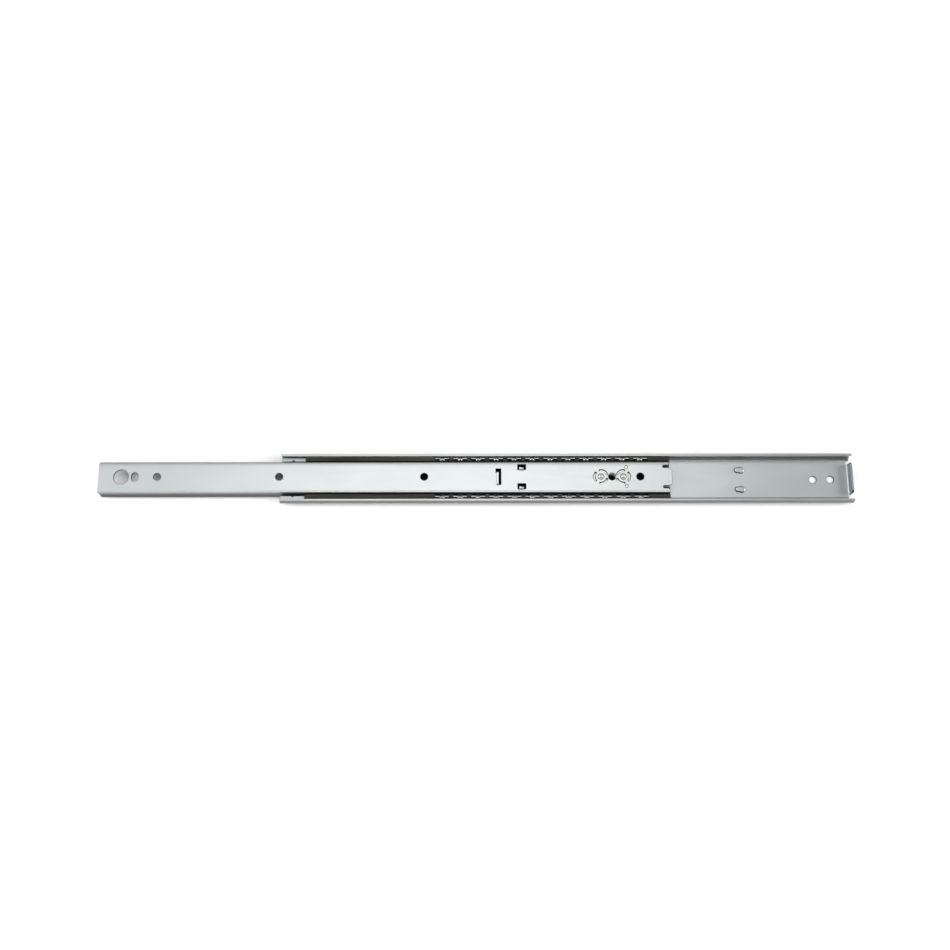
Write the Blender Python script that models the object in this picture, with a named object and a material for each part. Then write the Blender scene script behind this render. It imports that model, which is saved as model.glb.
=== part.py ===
"""Cabinet drawer slide: two steel channels that run on two rows of caged balls, drawn fully open.

The slide lies on its back. +X runs towards the cabinet's rear, +Y across, and +Z out of the web.
The origin is the centre of the cabinet member's back face. Sizes here are in millimetres.
"""
import math

import bmesh
import bpy
from mathutils import Vector

MM = 0.001

# Driving dimensions of the pair
SLIDE_LENGTH = 356.4        # both members, nominally 14 in
OPEN_OFFSET = 112.7         # how far the drawer member stands out of the cabinet member
THICKNESS = 9.6             # back face of the cabinet member to face of the drawer member
DRAWER_PROUD = 0.9          # drawer member's face above the cabinet member's lips
SHEET = 1.1                 # steel of both members
GAP = 0.3                   # between pieces that rest on each other or stop each other

# Balls and raceways
BALL_DIAMETER = 4.5
BALL_COUNT = 12             # in each of the two rows
BALL_PITCH = 11.24
BALL_CLEARANCE = 0.2        # ball to each raceway
DRAWER_GROOVE_HALF = 9.75   # centre line to the bottom of the drawer member's raceway
CABINET_RACE_ARC = math.radians(34)
DRAWER_RACE_ARC_UP = math.radians(20)
DRAWER_RACE_ARC_DOWN = math.radians(40)
RACE_EASE_RADIUS = 2.0      # where a raceway runs out into the straight flange
FOOT_EDGE = 0.22            # straight inner edge of the drawer member's foot

# Cabinet member
CABINET_BEND_RADIUS = 1.0   # inside, web to flange
CABINET_HOLE_DIAMETER = 4.7
REAR_HOLES_FROM_END = (12.4, 23.3)
FRONT_HOLE_FROM_END = 12.4
REAR_TAB_HALF_WIDTH = 9.7
REAR_TAB_HEIGHT = 6.9       # above the web
REAR_TAB_BEND_RADIUS = 0.5
REAR_TAB_CORNER = 1.4
REAR_NOTCH_DEPTH = 2.2
REAR_NOTCH_WIDTH = 2.5
BUMP_FROM_END = 69.2        # retainer stops pressed up out of the web
BUMP_HALF_SPACING = 6.2
BUMP_RISE = 1.15
BUMP_SLOPE = 0.5
BUMP_LOBES = ((-1.35, 1.75), (1.0, 2.1))   # place along the slide, radius

# Drawer member
DRAWER_BEND_RADIUS = 1.4    # outside, face to flange
DRAWER_HOLE_DIAMETER = 4.7
DRAWER_HOLES_FROM_FRONT = (36.5, 112.3, 202.3, 319.0, 336.5)
ACCESS_HOLE_DIAMETER = 9.3
ACCESS_HOLE_FROM_FRONT = 14.2
HEIGHT_SLOT_FROM_FRONT = 22.6
HEIGHT_SLOT_WIDTH = 4.2
HEIGHT_SLOT_LENGTH = 5.8
FOOT_CHAMFER = 1.0
TAB_HEIGHT = 2.6            # mounting tabs above the drawer member's face
TAB_ROOT = 0.2              # how far a tab runs into the face behind its opening
TAB_UNDERCUT = 0.05         # tab's lower end above the face's underside
HOOK_FROM_FRONT = 262.9
HOOK_WINDOW = (5.5, 3.8)
HOOK_WIDTH = 3.5
HOOK_HALF_SPACING = 6.15
KEY_SLOT_FROM_FRONT = 248.4
KEY_SLOT_LENGTH = 10.6
KEY_SLOT_WIDTH = 3.6
KEY_TAB_LENGTH = 7.7
TONGUE_HALF_WIDTH = 5.7
TONGUE_CORNER = 2.5
TONGUE_PROUD = 1.3          # tongue beyond the flanges' rear ends
REAR_NOTCH_LENGTH = 4.4
REAR_SLOT_WIDTH = 1.5
REAR_SLOT_FLARE = 1.2
EAR_REACH = 3.2             # retainer stop, outwards from the drawer member's groove
EAR_LOW = 0.9               # ear's lower edge above the flange's foot
EAR_HEIGHT = 3.2

# Ball retainer
RETAINER_SHEET = 0.6
RETAINER_SHOULDER_SHORT = (0.75, 1.1)   # shoulder's edges short of the raceways: the drawer's, the cabinet's
RETAINER_BELOW_LIP = 0.7
POCKET_CLEARANCE = 0.25
POCKET_MOUTH = 2.2
WINDOW_LENGTH = 8.9
WINDOW_RIM = 0.35
LAST_BALL_FROM_END = 18.1

# Front stop, riveted inside the cabinet member's mouth
STOP_LENGTH = 15.0
STOP_TOP_BELOW_LIP = 3.8
STOP_TURN_IN = (1.0, 1.55)  # top's edges from the ball line: towards the drawer, the cabinet
STOP_RIVET_DIAMETER = 2.6
STOP_RIVET_HEAD = 5.0
STOP_RIVET_HALF_SPACING = 5.5
STOP_RIVET_FROM_END = 5.0
STOP_SCREW_HOLE = 8.6
STOP_NOTCH = (1.2, 0.8)
STOP_SHOULDER = 1.0         # upright outer edge of the stop's arm
RIVET_TAIL = 0.1            # rivet's end above the back face
RIVET_CROWN = ((1.0, 0.0), (0.8, 0.5), (0.0, 0.8))   # share of the head's radius, height

# Guide block under the drawer member
BLOCK_LENGTH = 28.0
BLOCK_SIDE_GAP = 0.6
BLOCK_CORNER = 1.5
BLOCK_BOLT_HOLE = 5.2
PIN_SPACING = 13.9
PIN_DIAMETER = 3.5
PIN_DISH = 1.1              # radius of the dish in a pin's head
PIN_DISH_DEPTH = 0.45
PIN_LENGTH = 4.4
PIN_PROUD = 0.15            # above the drawer member's face
PIN_EDGE = 0.3              # chamfer on a pin's head
ARC_RADIUS = 4.05
ARC_SLOT_WIDTH = 1.5
ARC_SPAN = math.radians(74)
RIB_GAP = 0.25
PIP_HOLE_DIAMETER = 2.2
PIP_HALF_SPACING = 6.05
PIP_BEYOND_PIN = 1.9

# Facets and Boolean allowances
ARC_STEP = math.radians(18)      # largest turn between the points of a drawn arc
TURNED_STEPS = 16
BALL_SEGMENTS = 10
BALL_RINGS = 7
CUT_BEYOND = 1.0            # how far a cutter runs past the sheet it cuts
OFFSET_FACE = 0.01          # keeps joined faces off one another's planes

# Sizes that follow
HALF_LENGTH = SLIDE_LENGTH / 2
BALL_RADIUS = BALL_DIAMETER / 2
RACE_RADIUS = BALL_RADIUS + BALL_CLEARANCE
BALL_LINE = DRAWER_GROOVE_HALF + RACE_RADIUS
LIP_HEIGHT = THICKNESS - DRAWER_PROUD
RETAINER_FLOOR = SHEET + GAP
FOOT_HEIGHT = RETAINER_FLOOR + RETAINER_SHEET + GAP
BALL_HEIGHT = FOOT_HEIGHT + FOOT_EDGE + (RACE_RADIUS + SHEET) * math.sin(DRAWER_RACE_ARC_DOWN)
RETAINER_TOP = LIP_HEIGHT - RETAINER_BELOW_LIP
SHOULDER_INNER = RACE_RADIUS - RETAINER_SHOULDER_SHORT[0]
SHOULDER_OUTER = RACE_RADIUS - RETAINER_SHOULDER_SHORT[1]
TRAVEL = OPEN_OFFSET - SHEET - GAP
DRAWER_REAR = HALF_LENGTH - OPEN_OFFSET
FLANGE_REAR = DRAWER_REAR - TONGUE_PROUD
EAR_FRONT = FLANGE_REAR - SHEET
STOP_REAR = STOP_LENGTH - HALF_LENGTH
RETAINER_FRONT = STOP_REAR + GAP
RETAINER_REAR = FLANGE_REAR
LEG_REAR = EAR_FRONT - GAP
BUMP_X = HALF_LENGTH - BUMP_FROM_END
BUMP_FRONT = BUMP_X + BUMP_LOBES[0][0] - BUMP_LOBES[0][1]
RETAINER_WEB_REAR = BUMP_FRONT - GAP - TRAVEL / 2
LAST_BALL_X = RETAINER_REAR - LAST_BALL_FROM_END
BLOCK_BOLT_X = DRAWER_HOLES_FROM_FRONT[3] - HALF_LENGTH


# Flat outlines --------------------------------------------------------------

def arc_points(centre, radius, start, end):
    """Points on an arc, both ends included."""
    steps = max(2, math.ceil(abs(end - start) / ARC_STEP))
    angles = [start + (end - start) * i / steps for i in range(steps + 1)]
    return [(centre[0] + radius * math.cos(a), centre[1] + radius * math.sin(a)) for a in angles]


def circle_points(centre, radius):
    return arc_points(centre, radius, 0, 2 * math.pi)[:-1]


def box_points(low, high):
    return [low, (high[0], low[1]), high, (low[0], high[1])]


def slot_points(centre, width, length):
    """A round-ended slot that is long in the second direction."""
    reach = (length - width) / 2
    top = arc_points((centre[0], centre[1] + reach), width / 2, 0, math.pi)
    return top + arc_points((centre[0], centre[1] - reach), width / 2, math.pi, 2 * math.pi)


def arc_band_points(centre, radius, width, middle, span):
    """A curved slot of even width about a centre, with round ends."""
    start, end = middle - span / 2, middle + span / 2
    outer = arc_points(centre, radius + width / 2, start, end)
    inner = arc_points(centre, radius - width / 2, end, start)
    ends = [(centre[0] + radius * math.cos(a), centre[1] + radius * math.sin(a)) for a in (end, start)]
    far = arc_points(ends[0], width / 2, end, end + math.pi)
    near = arc_points(ends[1], width / 2, start + math.pi, start + 2 * math.pi)
    return outer + far[1:-1] + inner + near[1:-1]


def rounded_box_points(low, high, radius):
    corners = ((high[0], high[1], 0), (low[0], high[1], 1), (low[0], low[1], 2), (high[0], low[1], 3))
    points = []
    for x, y, quarter in corners:
        centre = (x - math.copysign(radius, x - low[0] - 1e-9), y - math.copysign(radius, y - low[1] - 1e-9))
        points += arc_points(centre, radius, quarter * math.pi / 2, (quarter + 1) * math.pi / 2)
    return points


def mirrored(points):
    """The same outline on the slide's other side, for points (along, across)."""
    return [(x, -y) for x, y in reversed(points)]


def both_halves(points):
    """A whole section from the points (across, up) of one half, its other half added."""
    return points + [(-across, up) for across, up in reversed(points)]


class SheetPath:
    """One face of a bent sheet, drawn as lines and arcs; the other face lies on its right."""

    def __init__(self, start, heading, thickness):
        self.point = Vector(start)
        self.heading = heading
        self.thickness = thickness
        self.face = []
        self.back = []
        self.mark()

    def mark(self):
        right = Vector((math.sin(self.heading), -math.cos(self.heading)))
        self.face.append(tuple(self.point))
        self.back.append(tuple(self.point + self.thickness * right))

    def line(self, length):
        self.point = self.point + length * Vector((math.cos(self.heading), math.sin(self.heading)))
        self.mark()

    def turn(self, radius, angle):
        """An arc to the left for a positive angle and to the right for a negative one."""
        side = math.copysign(1, angle)
        left = Vector((-math.sin(self.heading), math.cos(self.heading)))
        centre = self.point + side * radius * left
        steps = max(2, math.ceil(abs(angle) / ARC_STEP))
        for _ in range(steps):
            self.heading += angle / steps
            left = Vector((-math.sin(self.heading), math.cos(self.heading)))
            self.point = centre - side * radius * left
            self.mark()


def cabinet_profile():
    """The cabinet member's section (across, up): web, bend, raceway round the ball, upright lip."""
    rise = math.pi / 2 - CABINET_RACE_ARC
    race_start = (BALL_LINE + RACE_RADIUS * math.cos(CABINET_RACE_ARC),
                  BALL_HEIGHT - RACE_RADIUS * math.sin(CABINET_RACE_ARC))
    bend_top = SHEET + CABINET_BEND_RADIUS * (1 - math.cos(rise))
    slope = (race_start[1] - bend_top) / math.sin(rise)
    web_end = race_start[0] - slope * math.cos(rise) - CABINET_BEND_RADIUS * math.sin(rise)
    path = SheetPath((0, SHEET), 0, SHEET)
    path.line(web_end)
    path.turn(CABINET_BEND_RADIUS, rise)
    path.line(slope)
    path.turn(RACE_RADIUS, 2 * CABINET_RACE_ARC)
    path.turn(RACE_EASE_RADIUS, -CABINET_RACE_ARC)
    path.line(LIP_HEIGHT - path.point.y)
    return both_halves(path.back[1:] + path.face[:0:-1])


def drawer_wall_half():
    """Centre line to the straight part of the drawer member's flange."""
    race_top = BALL_LINE - RACE_RADIUS * math.cos(DRAWER_RACE_ARC_UP)
    return race_top + RACE_EASE_RADIUS * (1 - math.cos(DRAWER_RACE_ARC_UP))


def drawer_profile():
    """The drawer member's section (across, up): face, bend, flange with a raceway, flared foot."""
    wall = drawer_wall_half()
    ease_drop = RACE_EASE_RADIUS * math.sin(DRAWER_RACE_ARC_UP)
    ease_start = BALL_HEIGHT + RACE_RADIUS * math.sin(DRAWER_RACE_ARC_UP) + ease_drop
    path = SheetPath((0, THICKNESS), 0, SHEET)
    path.line(wall - DRAWER_BEND_RADIUS)
    path.turn(DRAWER_BEND_RADIUS, -math.pi / 2)
    path.line(path.point.y - ease_start)
    path.turn(RACE_EASE_RADIUS, -DRAWER_RACE_ARC_UP)
    path.turn(RACE_RADIUS, DRAWER_RACE_ARC_UP + DRAWER_RACE_ARC_DOWN)
    flare = math.cos(DRAWER_RACE_ARC_DOWN)
    path.line((path.point.y - FOOT_HEIGHT) / flare)
    path.back[-1] = (path.face[-1][0] - SHEET / flare, FOOT_HEIGHT)
    return both_halves(path.face[1:] + path.back[:0:-1])


# Solids ---------------------------------------------------------------------

def extruded(bm, outline, low, high, place):
    """A prism on the outline; place puts a point and a depth into the object's space."""
    start = bm.faces.new([bm.verts.new(place(point, low)) for point in outline])
    made = bmesh.ops.extrude_face_region(bm, geom=[start])
    moved = [item for item in made["geom"] if isinstance(item, bmesh.types.BMVert)]
    shift = Vector(place((0, 0), high)) - Vector(place((0, 0), low))
    bmesh.ops.translate(bm, verts=moved, vec=shift)


def along_x(point, depth):
    return Vector((depth, point[0], point[1])) * MM


def along_y(point, depth):
    return Vector((point[0], depth, point[1])) * MM


def along_z(point, depth):
    return Vector((point[0], point[1], depth)) * MM


def prism_mesh(name, pieces):
    """A mesh of prisms that stand apart: each piece is (outline, low, high, place)."""
    bm = bmesh.new()
    for outline, low, high, place in pieces:
        extruded(bm, outline, low, high, place)
    bmesh.ops.recalc_face_normals(bm, faces=bm.faces)
    mesh = bpy.data.meshes.new(name)
    bm.to_mesh(mesh)
    bm.free()
    return mesh


def turned_mesh(name, profile):
    """A solid of revolution about Z from (radius, height) points that start and end on the axis."""
    bm = bmesh.new()
    verts = [bm.verts.new(Vector((r, 0, z)) * MM) for r, z in profile]
    edges = [bm.edges.new(pair) for pair in zip(verts, verts[1:])]
    bmesh.ops.spin(bm, geom=verts + edges, axis=(0, 0, 1), cent=(0, 0, 0),
                   angle=2 * math.pi, steps=TURNED_STEPS, use_merge=True)
    bmesh.ops.remove_doubles(bm, verts=bm.verts, dist=0.001 * MM)
    bmesh.ops.recalc_face_normals(bm, faces=bm.faces)
    mesh = bpy.data.meshes.new(name)
    bm.to_mesh(mesh)
    bm.free()
    return mesh


def material(name, colour, roughness, metallic):
    made = bpy.data.materials.new(name)
    made.use_nodes = True
    shader = made.node_tree.nodes["Principled BSDF"]
    shader.inputs["Base Color"].default_value = (*colour, 1)
    shader.inputs["Roughness"].default_value = roughness
    shader.inputs["Metallic"].default_value = metallic
    return made


def placed(name, mesh, parent, location=(0, 0, 0)):
    obj = bpy.data.objects.new(name, mesh)
    obj.location = Vector(location) * MM
    obj.parent = parent
    bpy.context.scene.collection.objects.link(obj)
    return obj


def finished(obj, surface):
    obj.data.materials.clear()
    obj.data.materials.append(surface)
    obj.data.shade_smooth()
    obj.data.set_sharp_from_angle(angle=math.radians(30))
    return obj


def helper(name, mesh, owner):
    """A shape that a Boolean uses, in its owner's space; it is not a piece of the slide."""
    obj = placed(name, mesh, owner)
    obj.hide_render = True
    obj.display_type = "WIRE"
    return obj


def combine(owner, name, mesh, operation):
    modifier = owner.modifiers.new(name, "BOOLEAN")
    modifier.operation = operation
    modifier.solver = "EXACT"
    modifier.object = helper(f"{owner.name}_{name}", mesh, owner)


def body_empty(name, location):
    obj = bpy.data.objects.new(name, None)
    obj.location = Vector(location) * MM
    bpy.context.scene.collection.objects.link(obj)
    return obj


# Cabinet member -------------------------------------------------------------

def rear_tab_outline():
    """The stop tab's section (along, up): the web's end turned up square."""
    outside = REAR_TAB_BEND_RADIUS + SHEET
    centre = (HALF_LENGTH - outside, outside)
    top = SHEET + REAR_TAB_HEIGHT
    root = HALF_LENGTH - REAR_NOTCH_DEPTH - 2 * SHEET
    under = arc_points(centre, outside, -math.pi / 2, 0)
    over = arc_points(centre, REAR_TAB_BEND_RADIUS, 0, -math.pi / 2)
    return [(root, 0)] + under + [(HALF_LENGTH, top), (HALF_LENGTH - SHEET, top)] + over + [(root, SHEET)]


def cabinet_holes():
    places = [HALF_LENGTH - distance for distance in REAR_HOLES_FROM_END]
    places.append(FRONT_HOLE_FROM_END - HALF_LENGTH)
    outlines = [circle_points((x, 0), CABINET_HOLE_DIAMETER / 2) for x in places]
    rivet_hole = STOP_RIVET_DIAMETER / 2 + GAP
    for side in (-1, 1):
        centre = (STOP_RIVET_FROM_END - HALF_LENGTH, side * STOP_RIVET_HALF_SPACING)
        outlines.append(circle_points(centre, rivet_hole))
    return [(outline, -CUT_BEYOND, SHEET + CUT_BEYOND, along_z) for outline in outlines]


def lobe_mesh(shift, radius):
    """One low cone for each of the two retainer stops; a stop is two lobes run together."""
    bm = bmesh.new()
    low, high = SHEET / 2, SHEET + BUMP_RISE
    for side in (-1, 1):
        cone = bmesh.ops.create_cone(bm, cap_ends=True, segments=TURNED_STEPS, depth=(high - low) * MM,
                                     radius1=(radius + BUMP_SLOPE / 2) * MM,
                                     radius2=(radius - BUMP_SLOPE / 2) * MM)
        place = Vector((BUMP_X + shift, side * BUMP_HALF_SPACING, (low + high) / 2)) * MM
        bmesh.ops.translate(bm, verts=cone["verts"], vec=place)
    mesh = bpy.data.meshes.new("lobes")
    bm.to_mesh(mesh)
    bm.free()
    return mesh


def make_cabinet_member(parent, surface):
    channel = prism_mesh("cabinet_member", [(cabinet_profile(), -HALF_LENGTH, HALF_LENGTH, along_x)])
    member = placed("cabinet_member", channel, parent)
    notch_half = REAR_TAB_HALF_WIDTH + REAR_NOTCH_WIDTH
    notch = box_points((HALF_LENGTH - REAR_NOTCH_DEPTH, -notch_half), (HALF_LENGTH + CUT_BEYOND, notch_half))
    end_cut = [(notch, -CUT_BEYOND, LIP_HEIGHT + CUT_BEYOND, along_z)]
    combine(member, "end_cut", prism_mesh("end_cut", end_cut), "DIFFERENCE")
    tab = [(rear_tab_outline(), -REAR_TAB_HALF_WIDTH, REAR_TAB_HALF_WIDTH, along_y)]
    combine(member, "rear_tab", prism_mesh("rear_tab", tab), "UNION")
    corners = []
    top = SHEET + REAR_TAB_HEIGHT
    for side in (-1, 1):
        edge = side * REAR_TAB_HALF_WIDTH
        outside = edge + side * CUT_BEYOND
        corner = [(edge - side * REAR_TAB_CORNER, top + OFFSET_FACE), (outside, top + OFFSET_FACE),
                  (outside, top - REAR_TAB_CORNER - CUT_BEYOND)]
        corners.append((corner, HALF_LENGTH - 2 * SHEET, HALF_LENGTH + CUT_BEYOND, along_x))
    combine(member, "tab_corners", prism_mesh("tab_corners", corners), "DIFFERENCE")
    for name, lobe in zip(("bump_fronts", "bump_rears"), BUMP_LOBES):
        combine(member, name, lobe_mesh(*lobe), "UNION")
    combine(member, "holes", prism_mesh("holes", cabinet_holes()), "DIFFERENCE")
    return finished(member, surface)


# Drawer member --------------------------------------------------------------

def rear_cut_outline():
    """What is cut from one side of the drawer member's rear end, leaving the tongue and an ear."""
    rear = HALF_LENGTH
    ear_end = rear - TONGUE_PROUD
    slot_middle = TONGUE_HALF_WIDTH + REAR_SLOT_WIDTH / 2
    slot_end = ear_end - REAR_NOTCH_LENGTH + REAR_SLOT_WIDTH / 2
    corner = (rear - TONGUE_CORNER, TONGUE_HALF_WIDTH - TONGUE_CORNER)
    outside = TONGUE_HALF_WIDTH + REAR_SLOT_WIDTH
    beyond = BALL_LINE + RACE_RADIUS
    points = [(rear + CUT_BEYOND, corner[1])] + arc_points(corner, TONGUE_CORNER, 0, math.pi / 2)
    points += arc_points((slot_end, slot_middle), REAR_SLOT_WIDTH / 2, 1.5 * math.pi, math.pi / 2)
    points += [(ear_end - REAR_SLOT_FLARE, outside), (ear_end, outside + REAR_SLOT_FLARE)]
    return points + [(ear_end, beyond), (rear + CUT_BEYOND, beyond)]


def drawer_face_holes():
    front = -HALF_LENGTH
    outlines = [circle_points((front + d, 0), DRAWER_HOLE_DIAMETER / 2) for d in DRAWER_HOLES_FROM_FRONT]
    outlines.append(circle_points((front + ACCESS_HOLE_FROM_FRONT, 0), ACCESS_HOLE_DIAMETER / 2))
    outlines.append(slot_points((front + HEIGHT_SLOT_FROM_FRONT, 0), HEIGHT_SLOT_WIDTH, HEIGHT_SLOT_LENGTH))
    for x in pin_places():
        outlines.append(circle_points((x, 0), PIN_DIAMETER / 2 + GAP))
    outlines += arc_outlines(ARC_SLOT_WIDTH)
    for centre in pip_places():
        outlines.append(circle_points(centre, PIP_HOLE_DIAMETER / 2))
    for side in (-1, 1):
        middle = (front + HOOK_FROM_FRONT, side * HOOK_HALF_SPACING)
        low = (middle[0] - HOOK_WINDOW[0] / 2, middle[1] - HOOK_WINDOW[1] / 2)
        high = (middle[0] + HOOK_WINDOW[0] / 2, middle[1] + HOOK_WINDOW[1] / 2)
        outlines.append(box_points(low, high))
    outlines.append(key_slot_outline())
    low = THICKNESS - 2 * SHEET
    return [(outline, low, THICKNESS + CUT_BEYOND, along_z) for outline in outlines]


def key_slot_outline():
    """The slot left by the long mounting tab: a bar, and a short flag past the tab's end."""
    left = KEY_SLOT_FROM_FRONT - HALF_LENGTH - KEY_SLOT_WIDTH / 2
    right = left + KEY_SLOT_WIDTH
    half = KEY_SLOT_LENGTH / 2
    tab_side = left + KEY_SLOT_WIDTH / 2
    tab_end = KEY_TAB_LENGTH - half
    return [(tab_side, -half), (right, -half), (right, half), (left, half), (left, tab_end), (tab_side, tab_end)]


def tab_pieces():
    """The mounting tabs, each turned up at an edge of its own opening."""
    low, high = THICKNESS - SHEET + TAB_UNDERCUT, THICKNESS + TAB_HEIGHT
    pieces = []
    for side in (-1, 1):
        middle = HOOK_FROM_FRONT - HALF_LENGTH
        edge = side * HOOK_HALF_SPACING - HOOK_WINDOW[1] / 2
        outline = box_points((middle - HOOK_WIDTH / 2, edge - TAB_ROOT), (middle + HOOK_WIDTH / 2, edge + SHEET))
        pieces.append((outline, low, high, along_z))
    bar_side = KEY_SLOT_FROM_FRONT - HALF_LENGTH
    low_end = -KEY_SLOT_LENGTH / 2
    outline = box_points((bar_side - SHEET, low_end + TAB_ROOT),
                         (bar_side + OFFSET_FACE, low_end + KEY_TAB_LENGTH - TAB_ROOT))
    pieces.append((outline, low, high, along_z))
    return pieces


def ear_pieces():
    """The two ears at the flanges' rear ends that push the retainer back."""
    end = HALF_LENGTH - TONGUE_PROUD
    low = FOOT_HEIGHT + EAR_LOW
    root = DRAWER_GROOVE_HALF - SHEET / 2
    tip = DRAWER_GROOVE_HALF + EAR_REACH
    pieces = []
    for side in (-1, 1):
        outline = box_points((min(side * root, side * tip), low), (max(side * root, side * tip), low + EAR_HEIGHT))
        pieces.append((outline, end - SHEET, end, along_x))
    return pieces


def make_drawer_member(parent, surface):
    channel = prism_mesh("drawer_member", [(drawer_profile(), -HALF_LENGTH, HALF_LENGTH, along_x)])
    member = placed("drawer_member", channel, parent)
    cuts = [(outline, -CUT_BEYOND, THICKNESS + CUT_BEYOND, along_z)
            for outline in (rear_cut_outline(), mirrored(rear_cut_outline()))]
    combine(member, "rear_end", prism_mesh("rear_end", cuts), "DIFFERENCE")
    front = -HALF_LENGTH
    below = FOOT_HEIGHT - CUT_BEYOND
    corner = [(front - CUT_BEYOND, below), (front + FOOT_CHAMFER + CUT_BEYOND, below),
              (front - CUT_BEYOND, FOOT_HEIGHT + FOOT_CHAMFER + CUT_BEYOND)]
    width = BALL_LINE + RACE_RADIUS
    combine(member, "foot_corner", prism_mesh("foot_corner", [(corner, -width, width, along_y)]), "DIFFERENCE")
    combine(member, "holes", prism_mesh("holes", drawer_face_holes()), "DIFFERENCE")
    combine(member, "tabs", prism_mesh("tabs", tab_pieces()), "UNION")
    combine(member, "ears", prism_mesh("ears", ear_pieces()), "UNION")
    return finished(member, surface)


# Guide block ----------------------------------------------------------------

def pin_places():
    return (BLOCK_BOLT_X - PIN_SPACING / 2, BLOCK_BOLT_X + PIN_SPACING / 2)


def pip_places():
    x = pin_places()[1] + PIP_BEYOND_PIN
    return [(x, side * PIP_HALF_SPACING) for side in (-1, 1)]


def arc_outlines(width):
    """Three curved slots round each pin; the two sets mirror each other about the bolt hole."""
    outlines = []
    for x, turn in zip(pin_places(), (math.pi, 0)):
        for third in range(3):
            middle = turn + third * 2 * math.pi / 3
            outlines.append(arc_band_points((x, 0), ARC_RADIUS, width, middle, ARC_SPAN))
    return outlines


def make_guide_block(parent, surface):
    half = drawer_wall_half() - SHEET - BLOCK_SIDE_GAP
    top = THICKNESS - SHEET - GAP
    low = (BLOCK_BOLT_X - BLOCK_LENGTH / 2, -half)
    high = (BLOCK_BOLT_X + BLOCK_LENGTH / 2, half)
    body = [(rounded_box_points(low, high, BLOCK_CORNER), FOOT_HEIGHT + GAP, top, along_z)]
    block = placed("guide_block", prism_mesh("guide_block", body), parent)
    bores = [(circle_points((BLOCK_BOLT_X, 0), BLOCK_BOLT_HOLE / 2), 0, THICKNESS, along_z)]
    pin_floor = top - PIN_LENGTH
    for x in pin_places():
        bores.append((circle_points((x, 0), PIN_DIAMETER / 2 + GAP), pin_floor, THICKNESS, along_z))
    combine(block, "bores", prism_mesh("bores", bores), "DIFFERENCE")
    rib_width = ARC_SLOT_WIDTH - 2 * RIB_GAP
    ribs = [(outline, top - SHEET, THICKNESS - GAP, along_z) for outline in arc_outlines(rib_width)]
    for centre in pip_places():
        outline = circle_points(centre, PIP_HOLE_DIAMETER / 2 - RIB_GAP)
        ribs.append((outline, top - SHEET, THICKNESS, along_z))
    combine(block, "ribs", prism_mesh("ribs", ribs), "UNION")
    return finished(block, surface)


def make_guide_pins(parent, surface):
    bottom = THICKNESS - SHEET - PIN_LENGTH + GAP
    top = THICKNESS + PIN_PROUD
    radius = PIN_DIAMETER / 2
    profile = [(0, bottom), (radius, bottom), (radius, top - PIN_EDGE), (radius - PIN_EDGE, top),
               (PIN_DISH, top), (PIN_DISH / 2, top - PIN_DISH_DEPTH), (0, top - PIN_DISH_DEPTH)]
    for name, x in zip(("guide_pin_front", "guide_pin_rear"), pin_places()):
        finished(placed(name, turned_mesh(name, profile), parent, (x, 0, 0)), surface)


# Ball retainer --------------------------------------------------------------

def ball_places():
    """Distances of the balls from the retainer's front end, front ball first."""
    last = LAST_BALL_X - RETAINER_FRONT
    return [last - BALL_PITCH * (BALL_COUNT - 1 - i) for i in range(BALL_COUNT)]


def retainer_sections():
    """The retainer as prisms along its length: floor, two legs and the shoulders on their tops."""
    floor_end = RETAINER_WEB_REAR - RETAINER_FRONT
    leg_end = LEG_REAR - RETAINER_FRONT
    shoulder_end = RETAINER_REAR - RETAINER_FRONT
    half = RETAINER_SHEET / 2
    floor = box_points((-BALL_LINE - half, RETAINER_FLOOR), (BALL_LINE + half, RETAINER_FLOOR + RETAINER_SHEET))
    legs = []
    shoulders = []
    for side in (-1, 1):
        leg = (side * BALL_LINE - half, side * BALL_LINE + half)
        outline = box_points((leg[0], RETAINER_FLOOR + OFFSET_FACE), (leg[1], RETAINER_TOP - OFFSET_FACE))
        legs.append((outline, 0, leg_end, along_x))
        inner, outer = side * (BALL_LINE - SHOULDER_INNER), side * (BALL_LINE + SHOULDER_OUTER)
        low = (min(inner, outer), RETAINER_TOP - RETAINER_SHEET)
        outline = box_points(low, (max(inner, outer), RETAINER_TOP))
        shoulders.append((outline, -OFFSET_FACE, shoulder_end, along_x))
    return [(floor, -2 * OFFSET_FACE, floor_end, along_x)], legs, shoulders


def pocket_cutters():
    """Through each leg: a hole for the ball with a narrow mouth at the top."""
    radius = BALL_RADIUS + POCKET_CLEARANCE
    mouth = POCKET_MOUTH / 2
    half_angle = math.asin(mouth / radius)
    pieces = []
    for x in ball_places():
        hole = arc_points((x, BALL_HEIGHT), radius, math.pi / 2 + half_angle, 2.5 * math.pi - half_angle)
        outline = hole + [(x + mouth, RETAINER_TOP + CUT_BEYOND), (x - mouth, RETAINER_TOP + CUT_BEYOND)]
        for side in (-1, 1):
            middle = side * BALL_LINE
            pieces.append((outline, middle - RETAINER_SHEET, middle + RETAINER_SHEET, along_y))
    return pieces


def window_cutters():
    """Windows in the shoulders beside each ball; the leg's top edge stays between them as two tongues."""
    half = WINDOW_LENGTH / 2
    strip = RETAINER_SHEET / 2
    inner_edge = BALL_LINE - SHOULDER_INNER + WINDOW_RIM
    outer_edge = BALL_LINE + SHOULDER_OUTER - WINDOW_RIM
    pieces = []
    for x in ball_places():
        for side in (-1, 1):
            for near, far in ((inner_edge, BALL_LINE - strip), (BALL_LINE + strip, outer_edge)):
                ends = sorted((side * near, side * far))
                outline = box_points((x - half, ends[0]), (x + half, ends[1]))
                pieces.append((outline, BALL_HEIGHT, RETAINER_TOP + CUT_BEYOND, along_z))
    return pieces


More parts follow.
